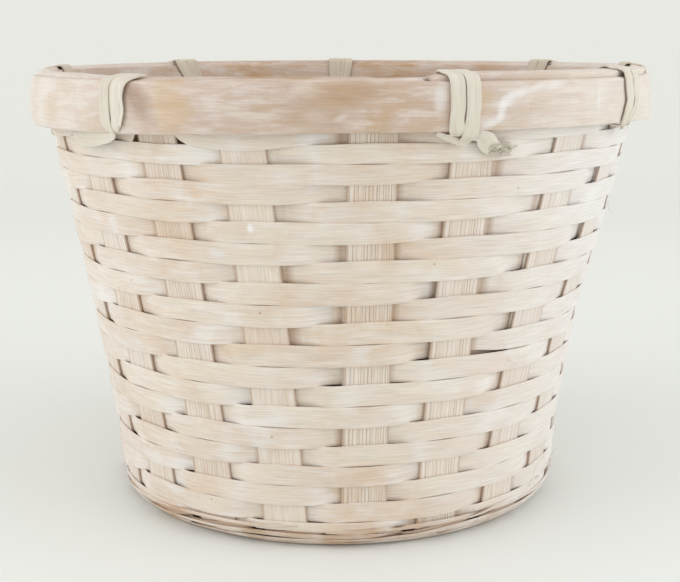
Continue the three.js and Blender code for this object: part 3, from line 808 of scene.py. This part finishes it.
# Cane ties
def spline(values, steps):
    """Catmull-Rom through rows of numbers."""
    values = np.asarray(values, float)
    padded = np.vstack([2 * values[0] - values[1], values, 2 * values[-1] - values[-2]])
    rows = []
    for i in range(1, len(padded) - 2):
        a, b, c, d = padded[i - 1 : i + 3]
        for t in np.arange(steps) / steps:
            row = 2 * b + (c - a) * t + (2 * a - 5 * b + 4 * c - d) * t**2
            rows.append(0.5 * (row + (3 * b - a - 3 * c + d) * t**3))
    rows.append(values[-1])
    return np.array(rows)


ASIDE = (1, 0, 0)


def ribbon(name, node, bearing, controls, thickness=0.8, start=0.0):
    """A cane strip. Each control: aside, along, out, width, and the direction of its width.

    The direction is in the same three axes, and straight aside where it isn't given.
    """
    rows = spline([(*control, *ASIDE)[:7] for control in controls], 7)
    degree = math.radians(1) * line_at(AT_RIM)[0]
    bearings = bearing + rows[:, 0] / degree
    stand = np.clip(rows[:, 2] / HOOP_FACE, 0, 1) * band_stand(bearings, rows[:, 1])
    points = wall(rows[:, 1], rows[:, 2] + stand, bearings)
    tangent = np.gradient(points, axis=0)
    tangent /= np.linalg.norm(tangent, axis=1, keepdims=True)
    rings = []
    for i, row in enumerate(rows):
        slope = line_at(row[1])[2]
        out, across = unit_out(bearings[i]), unit_side(bearings[i])
        along_axis = out * slope[0] + np.array([0, 0, slope[1]])
        out_axis = out * slope[1] - np.array([0, 0, slope[0]])
        wide = row[4] * across + row[5] * along_axis + row[6] * out_axis
        wide = wide - tangent[i] * np.dot(wide, tangent[i])
        wide /= np.linalg.norm(wide)
        normal = np.cross(tangent[i], wide)
        section = rounded_section(max(row[3], 0.5), thickness, thickness * 0.32, 0.12, 7)
        rings.append(points[i] + np.outer(section[:, 0], wide) + np.outer(section[:, 1], normal))
    return object_from_rings(name, node, rings, start=start)


def turn_controls(aside, foot, hand, bow, slant, lane, rise):
    """One turn: from the passage up the inside, over the top and down the front to above the edge."""
    low, high = AT_HOOP_BOTTOM, AT_RIM + rise
    inner, outer = -INNER_FACE - 0.55, OUTER_FACE + 0.5
    top = aside - hand * slant
    return [
        (foot, low + 0.6, inner + 0.4, lane * 0.6),
        ((foot + top) / 2, low + 6.0, inner - 0.2, lane * 0.9),
        (top, high - 2.4, inner + 0.1, lane),
        (top, high + 0.2, inner + 1.4, lane),
        (top + hand * slant * 0.35, high + 0.45, -0.8, lane),
        (aside - hand * slant * 0.3, high + 0.35, outer - 2.3, lane),
        (aside - hand * slant * 0.08, min(high - 1.0, AT_RIM + 0.3), outer - 0.45, lane),
        (aside, AT_RIM - 2.6, outer + 0.15, lane),
        (aside + bow, low + 9.0, outer + 0.35, lane),
        (aside + bow * 0.4, low + 4.5, outer + 0.3, lane * 0.97),
    ]


# The ties' loose ends: places from a point on the hoops' lower edge and outer stakes' face (aside,
# along, out), the width, and the width's direction
PLAIN_TAIL = [
    (1.5, -1.6, 1.4, 4.6, 0.8, 0.5, 0),
    (5.0, -3.2, 0.8, 4.6, 0.5, 0.8, 0),
    (9.0, -5.8, 0.8, 4.0, 0.4, 0.9, 0.1),
    (12.5, -8.6, 1.2, 2.4, 0.4, 0.9, 0.3),
]
TUCKED_TAIL = [
    (0.8, -1.1, 1.6, 3.8, 0.9, 0.3, 0),
    (2.2, -1.9, 0.8, 3.2, 0.8, 0.5, 0),
    (3.6, -2.2, 0.4, 2.4, 0.7, 0.6, 0),
]
LEAF_TAIL = [
    (0.3, -1.4, 2.3, 3.2, 0.7, 0.7, 0),
    (4.0, -2.6, 1.9, 4.6, 0.2, 1, 0),
    (9.5, -3.4, 1.8, 6.0, 0, 1, 0.1),
    (16.5, -4.2, 1.8, 6.8, 0, 1, 0.1),
    (24.0, -4.6, 1.7, 6.6, 0, 1, 0.1),
    (30.5, -4.6, 1.3, 4.4, 0, 1, 0.1),
]
CROSSING_END = [
    (-7.0, -0.6, 0.4, 1.8, 0, 1, 0),
    (-4.5, -1.6, 1.2, 2.2, 0, 1, 0),
    (-1.0, -3.0, 1.6, 2.5, 0, 1, 0),
    (2.6, -4.2, 1.5, 2.4, 0, 1, 0),
    (5.0, -4.8, 0.7, 2.0, 0, 1, 0),
]
FRAYED_END = [
    (5.6, -2.2, 0.7, 2.4, 0.3, 1, 0),
    (8.0, -1.8, 1.7, 4.4, 0.2, 1, 0.2),
    (10.6, -3.2, 2.1, 6.8, 0.3, 1, 0.4),
    (13.4, -5.6, 2.0, 6.6, 0.6, 0.8, 0.2),
    (16.4, -7.4, 1.8, 5.2, 0.4, 0.9, 0.4),
    (18.8, -8.0, 1.5, 3.4, 0.4, 0.9, 0.2),
]
SHREDS = 9


def placed(controls, aside, low, hand=1):
    """A loose end's controls moved to its place. A hand of -1 turns it to the left."""
    return [
        (aside + hand * a, low + b, HOOP_FACE + c, width, x, hand * y, z)
        for a, b, c, width, x, y, z in controls
    ]


# How the ties lie, by the stake before them: shift to the right, slant and bow of the turns, width
# of the strip, and how far the turns draw together at the foot. The rest differ in the shift only.
TIE_LIES = {
    2: (10.5, 1.8, 0.3, 5.3, 0.75),
    4: (9.8, 3.6, 2.0, 6.6, 0.45),
    13: (15.0, 0.4, 0.4, 5.9, 0.3),
    19: (6.2, 2.2, -0.2, 5.4, 0.25),
}
LEFT_TIE, MIDDLE_TIE, RIGHT_TIE = 19, 2, 4  # the front's, by the stake before them
LEFT_HANDED = (8, LEFT_TIE)


def make_tie(index):
    stake = TIE_AFTER_STAKE[index]
    low = AT_HOOP_BOTTOM
    left = float(stake_bearing(stake, low))
    right = float(stake_bearing(stake + 1, low))
    bearing = (left + right) / 2
    radius = float(line_at(low)[0])
    gap = math.radians(right - left) * radius - STAKE_WIDTH
    foot = gap / 2 - 4.0
    alike = (TIE_ASIDE[index], 0.4, 0.4, 5.9, 0.3)
    shift, slant, bow, lane, converge = TIE_LIES.get(stake, alike)
    rng = np.random.default_rng(700 + index)
    slant = slant + rng.normal(0, 0.3)
    hand = -1 if stake in LEFT_HANDED else 1
    pitch = 38  # mm from one stake to the next at the rim
    rise = float(filler_rise((stake + 0.5 + shift / pitch - FILLER_STAKE) % STAKES))
    first, second = shift - hand * lane * 0.51, shift + hand * lane * 0.51
    near = foot + converge * (shift - foot)
    controls = turn_controls(first, foot - hand * 0.6, hand, bow, slant, lane, rise)
    if stake == MIDDLE_TIE:
        controls += [
            (first + 0.4, low + 1.4, OUTER_FACE + 0.55, 5.6),
            (first + 0.9, low - 0.9, OUTER_FACE - 0.7, 4.6),
        ]
    else:
        controls += [
            (near - hand * 1.9, low + 1.4, OUTER_FACE + 0.5, 3.9),
            (near - hand * 1.0, low - 0.8, OUTER_FACE - 0.6, 2.6),
        ]
    controls += [
        (foot - hand * 0.4, low - 1.3, 1.8, 3.0),
        (foot + hand * 0.8, low - 1.1, -1.8, 3.0),
    ]
    controls += turn_controls(second, foot + hand * 1.2, hand, bow, slant, lane, rise)
    if stake == MIDDLE_TIE:
        controls += [
            (second + 0.1, low + 1.4, OUTER_FACE + 0.6, 5.8),
            (second - 0.2, low - 1.6, OUTER_FACE + 0.1, 5.6),
            (second - 0.6, low - 3.8, HOOP_FACE + 1.2, 5.2, 1, 0.1, 0),
            (second - 0.8, low - 5.6, HOOP_FACE + 0.3, 4.6, 1, 0.2, 0),
        ]
    else:
        controls += [(near + hand * 1.7, low + 1.2, OUTER_FACE + 0.6, 4.0)]
        if stake == LEFT_TIE:
            controls += placed(LEAF_TAIL, near - 0.5, low, hand)
        else:
            tail = TUCKED_TAIL if stake == RIGHT_TIE else PLAIN_TAIL
            controls += placed(tail, near + hand * 2.4, low, hand)
    name = "cane_tie_%02d" % (index + 1)
    pieces = [ribbon(name + "_cane", name, bearing, controls, start=index * 0.9)]
    if stake == MIDDLE_TIE:
        pieces += frayed_ends(name, bearing, near, low)
    if stake == LEFT_TIE:
        high = AT_RIM + rise
        fold = [
            (first + 7.6, high + 0.6, -1.8, 2.4),
            (first + 5.8, high + 0.8, 1.8, 3.4),
            (first + 3.6, high - 0.4, OUTER_FACE + 0.6, 3.2),
            (first + 2.6, AT_RIM - 4.5, OUTER_FACE + 1.1, 1.9),
            (first + 3.0, AT_RIM - 9.5, OUTER_FACE + 1.1, 1.6, 1, 0, 0.2),
            (first + 1.2, low + 1.6, OUTER_FACE + 1.0, 1.4),
        ]
        pieces.append(ribbon(name + "_fold", name, bearing, fold, 0.5, 3.3))
    return pieces


def frayed_ends(name, bearing, near, low):
    """The middle tie's two ends: a strip that crosses under the left turn, and a frayed one."""
    rng = np.random.default_rng(77)
    pieces = [
        ribbon(name + "_strip", name, bearing, placed(CROSSING_END, near, low), 0.7, 8.1),
        ribbon(name + "_leaf", name, bearing, placed(FRAYED_END, near, low), 0.5, 9.4),
    ]
    for k in range(SHREDS):
        start = near + 13.8 + rng.uniform(-1, 3.5)
        drop = rng.uniform(4.5, 9.5)
        reach = rng.uniform(5.5, 9.0)
        curl = rng.uniform(-1.4, 1.4)
        shred = [
            (0, -drop, 1.9, 1.3, 0.3, 1, 0.2),
            (reach * 0.35, -drop - curl, 2.6, 1.2, 0.3, 1, 0.8),
            (reach * 0.7, -drop + curl * 0.5 - 0.6, 2.2, 0.9, 0.4, 1, 0),
            (reach, -drop - 0.8, 1.6, 0.6, 0.3, 1, 0.5),
        ]
        shred_name = "%s_shred_%d" % (name, k + 1)
        pieces.append(ribbon(shred_name, name, bearing, placed(shred, start, low), 0.3, 10.0 + k))
    return pieces


# Liner
def liner_outline():
    """The CAD liner's outline with rounded corners: outside up, over the lip, inside down."""

    def wall_radius(height):
        return float(np.interp(height, LINE[2:, 1], LINE[2:, 0]))

    radius, height, _ = line_at(WEAVE_TOP)
    lip_radius = float(radius) - INNER_FACE - TIE_THICKNESS - 2 * CLEARANCE - LINER_PASSAGE
    lip_top = float(height) - LINER_BELOW_TIES
    lip_under = lip_top - LINER_LIP_HEIGHT
    floor = BASE_PLANE + WEAVE_FACE + CLEARANCE
    top_radius = lip_radius - LINER_LIP
    bend_top = floor + LINER_FOOT_BEND
    foot_radius = wall_radius(bend_top) - LINER_FOOT_GAP
    middle_gap = (LINER_FOOT_GAP + wall_radius(lip_under) - top_radius) / 2
    middle_radius = wall_radius((bend_top + lip_under) / 2) - middle_gap

    def foot(bend, turns):
        centre = foot_radius - LINER_FOOT_BEND
        return [(centre + bend * math.sin(a), bend_top - bend * math.cos(a)) for a in turns]

    control = middle_radius * 2 - (foot_radius + top_radius) / 2
    side = []
    for t in np.linspace(0, 1, 14)[1:]:
        r = (1 - t) ** 2 * foot_radius + 2 * t * (1 - t) * control + t * t * top_radius
        side.append((r, bend_top + (lip_under - bend_top) * t))
    turns = np.linspace(0, math.pi / 2, 7)
    thin = 0.5  # radius of the small middle faces that close the floor
    outside = [(thin, floor)] + foot(LINER_FOOT_BEND, turns) + side
    lip = [(top_radius + 0.3, lip_under)]
    lip += corner_points(lip_radius - 0.6, lip_under + 0.6, 0.6, (-60, -20))
    lip += corner_points(lip_radius - 0.9, lip_top - 0.9, 0.9, (20, 60))
    inner = top_radius - LINER_WALL
    lip += [(lip_radius - 1.4, lip_top), (inner + 0.6, lip_top), (inner, lip_top - 0.7)]
    inside = [(r - LINER_WALL, z) for r, z in reversed(side[:-1])]
    inside += foot(LINER_FOOT_BEND - LINER_WALL, turns[::-1])
    return outside + lip + inside + [(thin, floor + LINER_WALL)]


def revolve(name, node, outline, sides=96):
    """A closed form round the basket's axis, from an outline of radii and heights (mm)."""
    rings = []
    for k in range(sides):
        a = 2 * math.pi * k / sides
        rings.append([(r * math.sin(a), -r * math.cos(a), z) for r, z in outline])
    corners = len(outline)
    faces = []
    for k in range(sides):
        here, there = k * corners, ((k + 1) % sides) * corners
        for c in range(corners - 1):
            faces.append((here + c, here + c + 1, there + c + 1, there + c))
    faces.append(tuple(k * corners for k in range(sides)))
    faces.append(tuple(k * corners + corners - 1 for k in reversed(range(sides))))
    obj = object_from_mesh(name, np.array(rings).reshape(-1, 3) * MM, faces)
    obj.data.validate()
    outward(obj.data)
    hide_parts(node)
    return obj


# Materials
def srgb(r, g, b):
    def linear(v):
        v /= 255
        return v / 12.92 if v <= 0.04045 else ((v + 0.055) / 1.055) ** 2.4

    return (linear(r), linear(g), linear(b), 1.0)


class Nodes:
    """Short names for building the node tree of a material, or of the world."""

    def __init__(self, owner):
        owner.use_nodes = True
        self.owner = owner
        self.tree = owner.node_tree

    def feed(self, node, sockets):
        """Gives a node's inputs, by name or number, a value or another node's output."""
        for key, given in sockets.items():
            if isinstance(given, bpy.types.NodeSocket):
                self.tree.links.new(given, node.inputs[key])
            else:
                node.inputs[key].default_value = given

    def node(self, kind, sockets=(), **settings):
        made = self.tree.nodes.new(kind)
        for key, value in settings.items():
            setattr(made, key, value)
        self.feed(made, dict(sockets))
        return made

    def math(self, operation, a, b):
        return self.node("ShaderNodeMath", {0: a, 1: b}, operation=operation).outputs[0]

    def vector(self, operation, a, b=(0, 0, 0)):
        return self.node("ShaderNodeVectorMath", {0: a, 1: b}, operation=operation).outputs

    def noise(self, vector, scale, detail=2.0, rough=0.5, distortion=0.0):
        sockets = {"Vector": vector, "Scale": scale, "Detail": detail}
        sockets.update({"Roughness": rough, "Distortion": distortion})
        return self.node("ShaderNodeTexNoise", sockets).outputs["Fac"]

    def remap(self, value, low, high, out_low=0.0, out_high=1.0):
        sockets = {"Value": value, "From Min": low, "From Max": high}
        sockets.update({"To Min": out_low, "To Max": out_high})
        return self.node("ShaderNodeMapRange", sockets).outputs["Result"]

    def mix(self, share, a, b, blend="MIX"):
        sockets = {0: share, 6: a, 7: b}
        return self.node("ShaderNodeMix", sockets, data_type="RGBA", blend_type=blend).outputs[2]

    def layer(self, base, colour, value, low, high, share=1.0):
        """Lays a colour over the base: not where a value is at low, with its full share at high."""
        return self.mix(self.remap(value, low, high, 0.0, share), base, colour)

    def uneven(self, value, noise, amount):
        swing = self.math("MULTIPLY", self.math("SUBTRACT", noise, 0.5), amount)
        return self.math("ADD", value, swing)

    def strip(self, along, across):
        """The strip's own coordinates, stretched so that grain runs along it."""
        uv = self.node("ShaderNodeUVMap", uv_map="strip").outputs["UV"]
        scale = (along, across, 1.0)
        return self.node("ShaderNodeMapping", {"Vector": uv, "Scale": scale}).outputs["Vector"]

    def place(self):
        return self.node("ShaderNodeTexCoord").outputs["Object"]

    def axis(self, letter):
        return self.node("ShaderNodeSeparateXYZ", {0: self.place()}).outputs[letter]

    def rotate(self, vector, degrees, axis):
        sockets = {"Vector": vector, "Angle": math.radians(degrees)}
        return self.node("ShaderNodeVectorRotate", sockets, rotation_type=axis).outputs[0]

    def mark(self, centre, turn, size, ragged, strength):
        """A soft blot: a place in mm, a bearing and a turn in degrees, half widths in mm."""
        away = self.vector("SUBTRACT", self.place(), [v * MM for v in centre])[0]
        tilted = self.rotate(self.rotate(away, -turn[0], "Z_AXIS"), turn[1], "Y_AXIS")
        scaled = self.vector("DIVIDE", tilted, [v * MM for v in size])[0]
        length = self.vector("LENGTH", scaled)["Value"]
        edge = self.math("ADD", length, self.math("MULTIPLY", ragged, 1.2))
        return self.remap(edge, 1.75, 0.95, 0.0, strength)

    def finish(self, colour, roughness, height, strength):
        """Feeds the shader. The bump is up to 0.4 mm high at full strength."""
        sockets = {"Strength": strength, "Distance": 0.0004, "Height": height}
        normal = self.node("ShaderNodeBump", sockets).outputs["Normal"]
        shader = self.tree.nodes["Principled BSDF"]
        self.feed(shader, {"Base Color": colour, "Roughness": roughness, "Normal": normal})
        return self.owner


def bamboo(
    name, pale, mid, tan, white, patch=0.5, grain=1.0, rough=0.75, tone=0.0, mottle=0.0,
    west=0.3, east=0.95, marks=(), smear=0.6, washes=False,
):
    """Whitewashed bamboo: fibres along the strip, wash worn off in patches, white smears.

    Tone: how brown it gets where the mesh's own tone is low: the stakes' grooves and browner sides,
    and painted shade in the slots beside the stakes. West, east: how white at the sides.
    """
    pale, mid, tan, white = (srgb(*colour) for colour in (pale, mid, tan, white))
    n = Nodes(bpy.data.materials.new(name))
    fine = n.noise(n.strip(70, 2600), 1.0, 2.0)
    broad = n.noise(n.strip(22, 700), 1.0, 3.0)
    strip_tone = n.noise(n.strip(14, 30), 1.0, 2.0)
    patches = n.noise(n.place(), 38, 3.0, 0.6, 0.4)
    smears = n.noise(n.place(), 52, 3.0, 0.55, 0.15)
    rubbed = n.noise(n.strip(60, 260), 1.0, 4.0, 0.65)
    base = n.layer(mid, pale, strip_tone, 0.4, 0.6)
    base = n.layer(base, tan, patches, 0.48, 0.66, patch)
    base = n.layer(base, tan, broad, 0.45, 0.75, 0.5 * grain)
    base = n.layer(base, tan, rubbed, 0.46, 0.66, mottle)
    base = n.layer(base, white, rubbed, 0.52, 0.38, 0.3 + mottle * 0.3)
    base = n.layer(base, white, n.uneven(smears, broad, 0.45), 0.54, 0.7, smear)
    base = n.layer(base, white, n.axis("X"), 0.03, 0.11, east)
    base = n.layer(base, white, n.axis("X"), -0.06, -0.12, west)
    for centre, turn, size, colour, strength in marks:
        base = n.mix(n.mark(centre, turn, size, patches, strength), base, srgb(*colour))
    lines = n.remap(fine, 0.35, 0.62, 1 - 0.14 * grain, 1.0)
    grey = n.node("ShaderNodeCombineColor", {0: lines, 1: lines, 2: lines}).outputs[0]
    base = n.mix(1.0, base, grey, "MULTIPLY")
    if tone:
        # The mesh's tone: low in the stakes' grooves and on their sides, and in the slots at the
        # stakes' edges, where the brown is painted shade
        tone_and_painted_shade = n.node("ShaderNodeAttribute", attribute_name="tone").outputs["Fac"]
        if washes:
            base = n.layer(base, white, n.uneven(tone_and_painted_shade, broad, 0.9), 0.56, 0.95, 0.8)
            base = n.layer(base, srgb(160, 120, 84), tone_and_painted_shade, 0.4, 0.0, tone)
        else:
            base = n.layer(base, srgb(160, 122, 86), tone_and_painted_shade, 0.95, 0.1, tone)
    specks = n.node("ShaderNodeTexVoronoi", {"Vector": n.place(), "Scale": 70}).outputs["Distance"]
    base = n.layer(base, srgb(140, 108, 78), specks, 0.045, 0.02, 0.5)
    height = n.math("ADD", n.math("MULTIPLY", fine, 0.6), broad)
    return n.finish(base, n.remap(broad, 0.3, 0.7, rough - 0.08, rough + 0.08), height, 0.25 * grain)


# Each mark: place, bearing and turn, half widths across, through and upwards, colour, strength
CHALK = (243, 240, 237)
# Painted shade for the slits between the twined strands at the foot
SLIT_SHADE = (112, 84, 58)
WEAVER = bamboo(
    "weaver_bamboo", (238, 228, 213), (231, 216, 201), (225, 198, 168), CHALK,
    tone=0.6, washes=True,
    marks=[
        ((-29.9, -107.9, 124.5), (-15, 0), (1.3, 3, 1.8), (250, 248, 246), 1.0),
        ((-42.6, -101.6, 114.7), (-23, 0), (4.2, 3, 2.0), (236, 230, 225), 0.7),
    ],
)
STAKE = bamboo(
    "stake_bamboo", (240, 229, 215), (234, 219, 205), (218, 192, 162), (243, 238, 232), tone=0.58
)
FIBRE = bamboo(
    "fibre_bamboo", (240, 226, 211), (225, 206, 188), (204, 171, 138), CHALK,
    patch=0.8, grain=1.3,
    marks=[
        # The first five marks paint the shade in the slits of the twining; the tan ones below them are
        # the bamboo's browner patches
        ((-6.1, -93.3, 8.4), (-4, 4), (8, 3, 0.7), SLIT_SHADE, 0.85),
        ((22.7, -91, 9.0), (14, 6), (3.5, 3, 0.6), SLIT_SHADE, 0.85),
        ((55, -75.7, 9.2), (36, 6), (8, 3, 0.7), SLIT_SHADE, 0.85),
        ((44.6, -83, 14.5), (28, 8), (4, 3, 0.6), SLIT_SHADE, 0.8),
        ((-51, -77.8, 7), (-33, 0), (6, 4, 0.8), SLIT_SHADE, 0.8),
        ((-62.4, -69.4, 7.8), (-42, 0), (7, 4, 2.2), (196, 160, 122), 0.7),
        ((-31.3, -87.3, 6.2), (-20, 0), (7, 4, 1.4), (190, 156, 112), 0.7),
        ((-2.9, -93.7, 10), (-2, 0), (6, 4, 1.6), (206, 160, 116), 0.7),
        ((12.7, -93.2, 12.6), (8, 4), (10, 4, 1.2), (206, 168, 148), 0.6),
    ],
)
# The band, with its stains, a darker brown diagonal patch right of the left tie, and brushed wash
# where the photograph shows them
BARE, ORANGE = (188, 152, 112), (212, 178, 128)
HOOP = bamboo(
    "hoop_bamboo", (220, 202, 191), (211, 191, 179), (204, 174, 142), (240, 233, 224),
    patch=0.8, grain=0.75, rough=0.62, mottle=0.45, smear=0.4, west=0.75, east=0.75,
    marks=[
        ((-56, -110, 166), (-27, 0), (8, 9, 11), ORANGE, 0.5),
        # A darker brown diagonal patch to the right of the left tie
        ((-68, -103.5, 168), (-33.5, 40), (5, 8, 11), (172, 142, 120), 0.75),
        ((-7, -122.6, 164), (-3, 0), (14, 8, 9), (194, 164, 134), 0.6),
        ((4, -124, 171), (1, 0), (15, 8, 5), BARE, 0.6),
        ((-7, -122.6, 163.5), (-3, 0), (4.6, 5, 2.6), (222, 204, 190), 0.5),
        ((1.5, -123, 163), (1, 25), (2.6, 5, 1.2), (230, 220, 212), 0.5),
        ((33.7, -119.3, 168), (16, 0), (2.2, 5, 6), CHALK, 0.5),
        ((52.8, -112.7, 160.7), (25, -65), (1.7, 5, 5.2), CHALK, 0.7),
        ((55.6, -112.3, 164.6), (26.3, -9), (1.7, 5, 5), CHALK, 0.75),
        ((58, -111.8, 168.3), (27.4, -56), (1.9, 5, 4.8), CHALK, 0.75),
        ((62.8, -109.9, 170.4), (29.8, -74), (1.9, 5, 5.8), CHALK, 0.8),
        ((68.6, -107, 171.9), (32.8, -69), (2, 5, 5.8), CHALK, 0.8),
        ((75.5, -102.5, 173), (36.3, -84), (2.1, 5, 8), CHALK, 0.8),
        ((92.2, -84.5, 167.4), (47.5, 6), (1.6, 5, 6), CHALK, 0.45),
        ((48, -114, 168), (22.5, 0), (4, 5, 6), ORANGE, 0.35),
        ((-106, -66, 163), (-58, 0), (9, 9, 6), ORANGE, 0.3),
    ],
)
INNER = bamboo(
    "inner_bamboo", (214, 194, 178), (202, 178, 160), (196, 160, 120), (228, 218, 211),
    patch=0.9, grain=0.5, mottle=0.3, east=0.3,
)


def cane_material(name, pale, mid, dark):
    n = Nodes(bpy.data.materials.new(name))
    fine = n.noise(n.strip(50, 1800), 1.0, 2.0)
    broad = n.noise(n.strip(30, 300), 1.0, 2.0)
    base = n.layer(srgb(*pale), srgb(*mid), broad, 0.35, 0.65)
    base = n.layer(base, srgb(*dark), fine, 0.5, 0.75, 0.5)
    return n.finish(base, n.remap(fine, 0.3, 0.7, 0.5, 0.65), fine, 0.2)


CANE = cane_material("tie_cane", (228, 222, 208), (218, 209, 194), (196, 185, 165))
# The same cane made darker for the ties other than the three in front: painted shade
SHADED_CANE = cane_material("cane_painted_shade", (216, 203, 184), (207, 193, 172), (182, 166, 142))
FRAYED = cane_material("frayed_cane", (206, 199, 184), (190, 182, 166), (158, 149, 132))


def liner_material():
    n = Nodes(bpy.data.materials.new("liner_plastic"))
    cloud = n.noise(n.place(), 160, 3.0)
    base = n.layer(srgb(146, 124, 100), srgb(138, 117, 94), cloud, 0.3, 0.7)
    return n.finish(base, n.remap(cloud, 0.3, 0.7, 0.42, 0.5), cloud, 0.05)


LINER = liner_material()


def dress(obj, material, body="basket"):
    obj.data.materials.clear()
    obj.data.materials.append(material)
    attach(obj, body)


for number in range(2 * STRIPS_EACH_WAY):
    dress(make_stake_strip(number), STAKE)
for strip in range(WEAVER_STRIPS):
    dress(make_weaver(strip), WEAVER)
dress(make_loose_tail(), STAKE)
for row in range(TWINED_ROWS):
    for strand in (0, 1):
        dress(make_foot_splint(row, strand), WEAVER)
        for piece in make_foot_strands(2 * row + strand + 1):
            dress(piece, FIBRE)
for piece in make_fibres():
    dress(piece, FIBRE)
base_round = ring_strip("base_round", AT_FOOT - BASE_SPLINT_WIDTH / 2, BASE_SPLINT_WIDTH, 51.0)
dress(base_round, STAKE)
dress(make_hoop("outer_hoop", OUTER_HOOP, OUTER_LAP_STAKE, 1, 11), HOOP)
dress(make_hoop("inner_hoop", INNER_HOOP, INNER_LAP_STAKE, -1, 12), INNER)
dress(make_filler(), HOOP)
for index, stake in enumerate(TIE_AFTER_STAKE):
    for piece in make_tie(index):
        # The ties other than the three in front take the cane with painted shade
        cane = CANE if stake in (LEFT_TIE, MIDDLE_TIE, RIGHT_TIE) else SHADED_CANE
        dress(piece, FRAYED if "shred" in piece.name else cane)
dress(revolve("liner_pot", "liner", liner_outline()), LINER, "liner")
dress(ring_strip("rim_course", AT_HOOP_BOTTOM + 4.2, 7, 57.0), WEAVER)


# Floor, backdrop, lights and camera, in metres
DISTANCE = srgb(232, 233, 227)  # what the camera sees of the backdrop and beyond it
FLOOR_REACH = 6.0
BACKDROP_AT, BACKDROP_BEND, BACKDROP_TOP = 0.9, 0.8, 2.4


def make_backdrop():
    profile = [(-FLOOR_REACH, 0.0), (BACKDROP_AT, 0.0)]
    for a in np.linspace(0, math.pi / 2, 13)[1:]:
        back = BACKDROP_AT + BACKDROP_BEND * math.sin(a)
        profile.append((back, BACKDROP_BEND * (1 - math.cos(a))))
    profile.append((BACKDROP_AT + BACKDROP_BEND, BACKDROP_TOP))
    verts = [(x, y, z) for y, z in profile for x in (-FLOOR_REACH, FLOOR_REACH)]
    faces = [(2 * i, 2 * i + 1, 2 * i + 3, 2 * i + 2) for i in range(len(profile) - 1)]
    obj = object_from_mesh("backdrop", verts, faces)
    n = Nodes(bpy.data.materials.new("backdrop_paper"))
    paper = n.tree.nodes["Principled BSDF"]
    colour = n.layer(srgb(237, 239, 236), srgb(243, 244, 239), n.axis("Y"), -0.1, 0.6)
    n.feed(paper, {"Base Color": colour, "Roughness": 0.9, "Specular IOR Level": 0.1})
    # From a metre away the paper is one even colour to the camera, from whichever side it looks
    away = n.vector("LENGTH", n.place())["Value"]
    seen = n.node("ShaderNodeLightPath").outputs["Is Camera Ray"]
    even = n.node("ShaderNodeEmission", {"Color": DISTANCE}).outputs[0]
    share = n.math("MULTIPLY", seen, n.remap(away, 0.75, 1.5))
    both = n.node("ShaderNodeMixShader", {0: share, 1: paper.outputs[0], 2: even}).outputs[0]
    n.feed(n.tree.nodes["Material Output"], {"Surface": both})
    obj.data.materials.append(n.owner)


make_backdrop()


def area(name, place, aim, side, energy):
    """A square light that looks at a point."""
    light = bpy.data.lights.new(name, "AREA")
    light.size = side
    light.energy = energy
    obj = bpy.data.objects.new(name, light)
    obj.location = place
    obj.rotation_euler = (Vector(aim) - Vector(place)).to_track_quat("-Z", "Y").to_euler()
    bpy.context.scene.collection.objects.link(obj)


area("left_tent", (-1.3, -0.5, 0.6), (0, 0, 0.1), 1.2, 7.4)
area("right_tent", (1.3, -0.5, 0.6), (0, 0, 0.1), 1.2, 7.2)
area("top_tent", (0, -0.2, 1.6), (0, 0, 0), 1.6, 3.3)

WORLD_LIGHT = 0.69
sky = Nodes(bpy.data.worlds.new("studio"))
seen = sky.node("ShaderNodeLightPath").outputs["Is Camera Ray"]
colour = sky.mix(seen, (WORLD_LIGHT, WORLD_LIGHT, WORLD_LIGHT, 1), DISTANCE)
sky.feed(sky.tree.nodes["Background"], {"Color": colour, "Strength": 1})
bpy.context.scene.world = sky.owner

# The camera, fitted to the photograph: its width and the focal length in pixels, the eye in mm,
# the turns in radians
PICTURE_WIDTH = 680
FOCAL = 1267.1
SENSOR = 36
EYE = (-0.22, -539.27, 188.03)
PITCH, YAW, ROLL = 0.19617, 0.00268, 0.00208

camera_data = bpy.data.cameras.new("camera")
camera_data.sensor_width = SENSOR
camera_data.lens = SENSOR * FOCAL / PICTURE_WIDTH
camera_data.clip_start = 0.05
camera_data.clip_end = 20
camera = bpy.data.objects.new("camera", camera_data)
bpy.context.scene.collection.objects.link(camera)
level = math.cos(PITCH)
forward = Vector((math.sin(YAW) * level, math.cos(YAW) * level, -math.sin(PITCH)))
right = forward.cross(Vector((0, 0, 1))).normalized()
up = right.cross(forward)
right_rolled = right * math.cos(ROLL) - up * math.sin(ROLL)
up_rolled = up * math.cos(ROLL) + right * math.sin(ROLL)
axes = Matrix((right_rolled, up_rolled, -forward)).transposed()
camera.matrix_world = Matrix.Translation(Vector(EYE) * MM) @ axes.to_4x4()
bpy.context.scene.camera = camera
bpy.context.scene.view_settings.view_transform = "Standard"
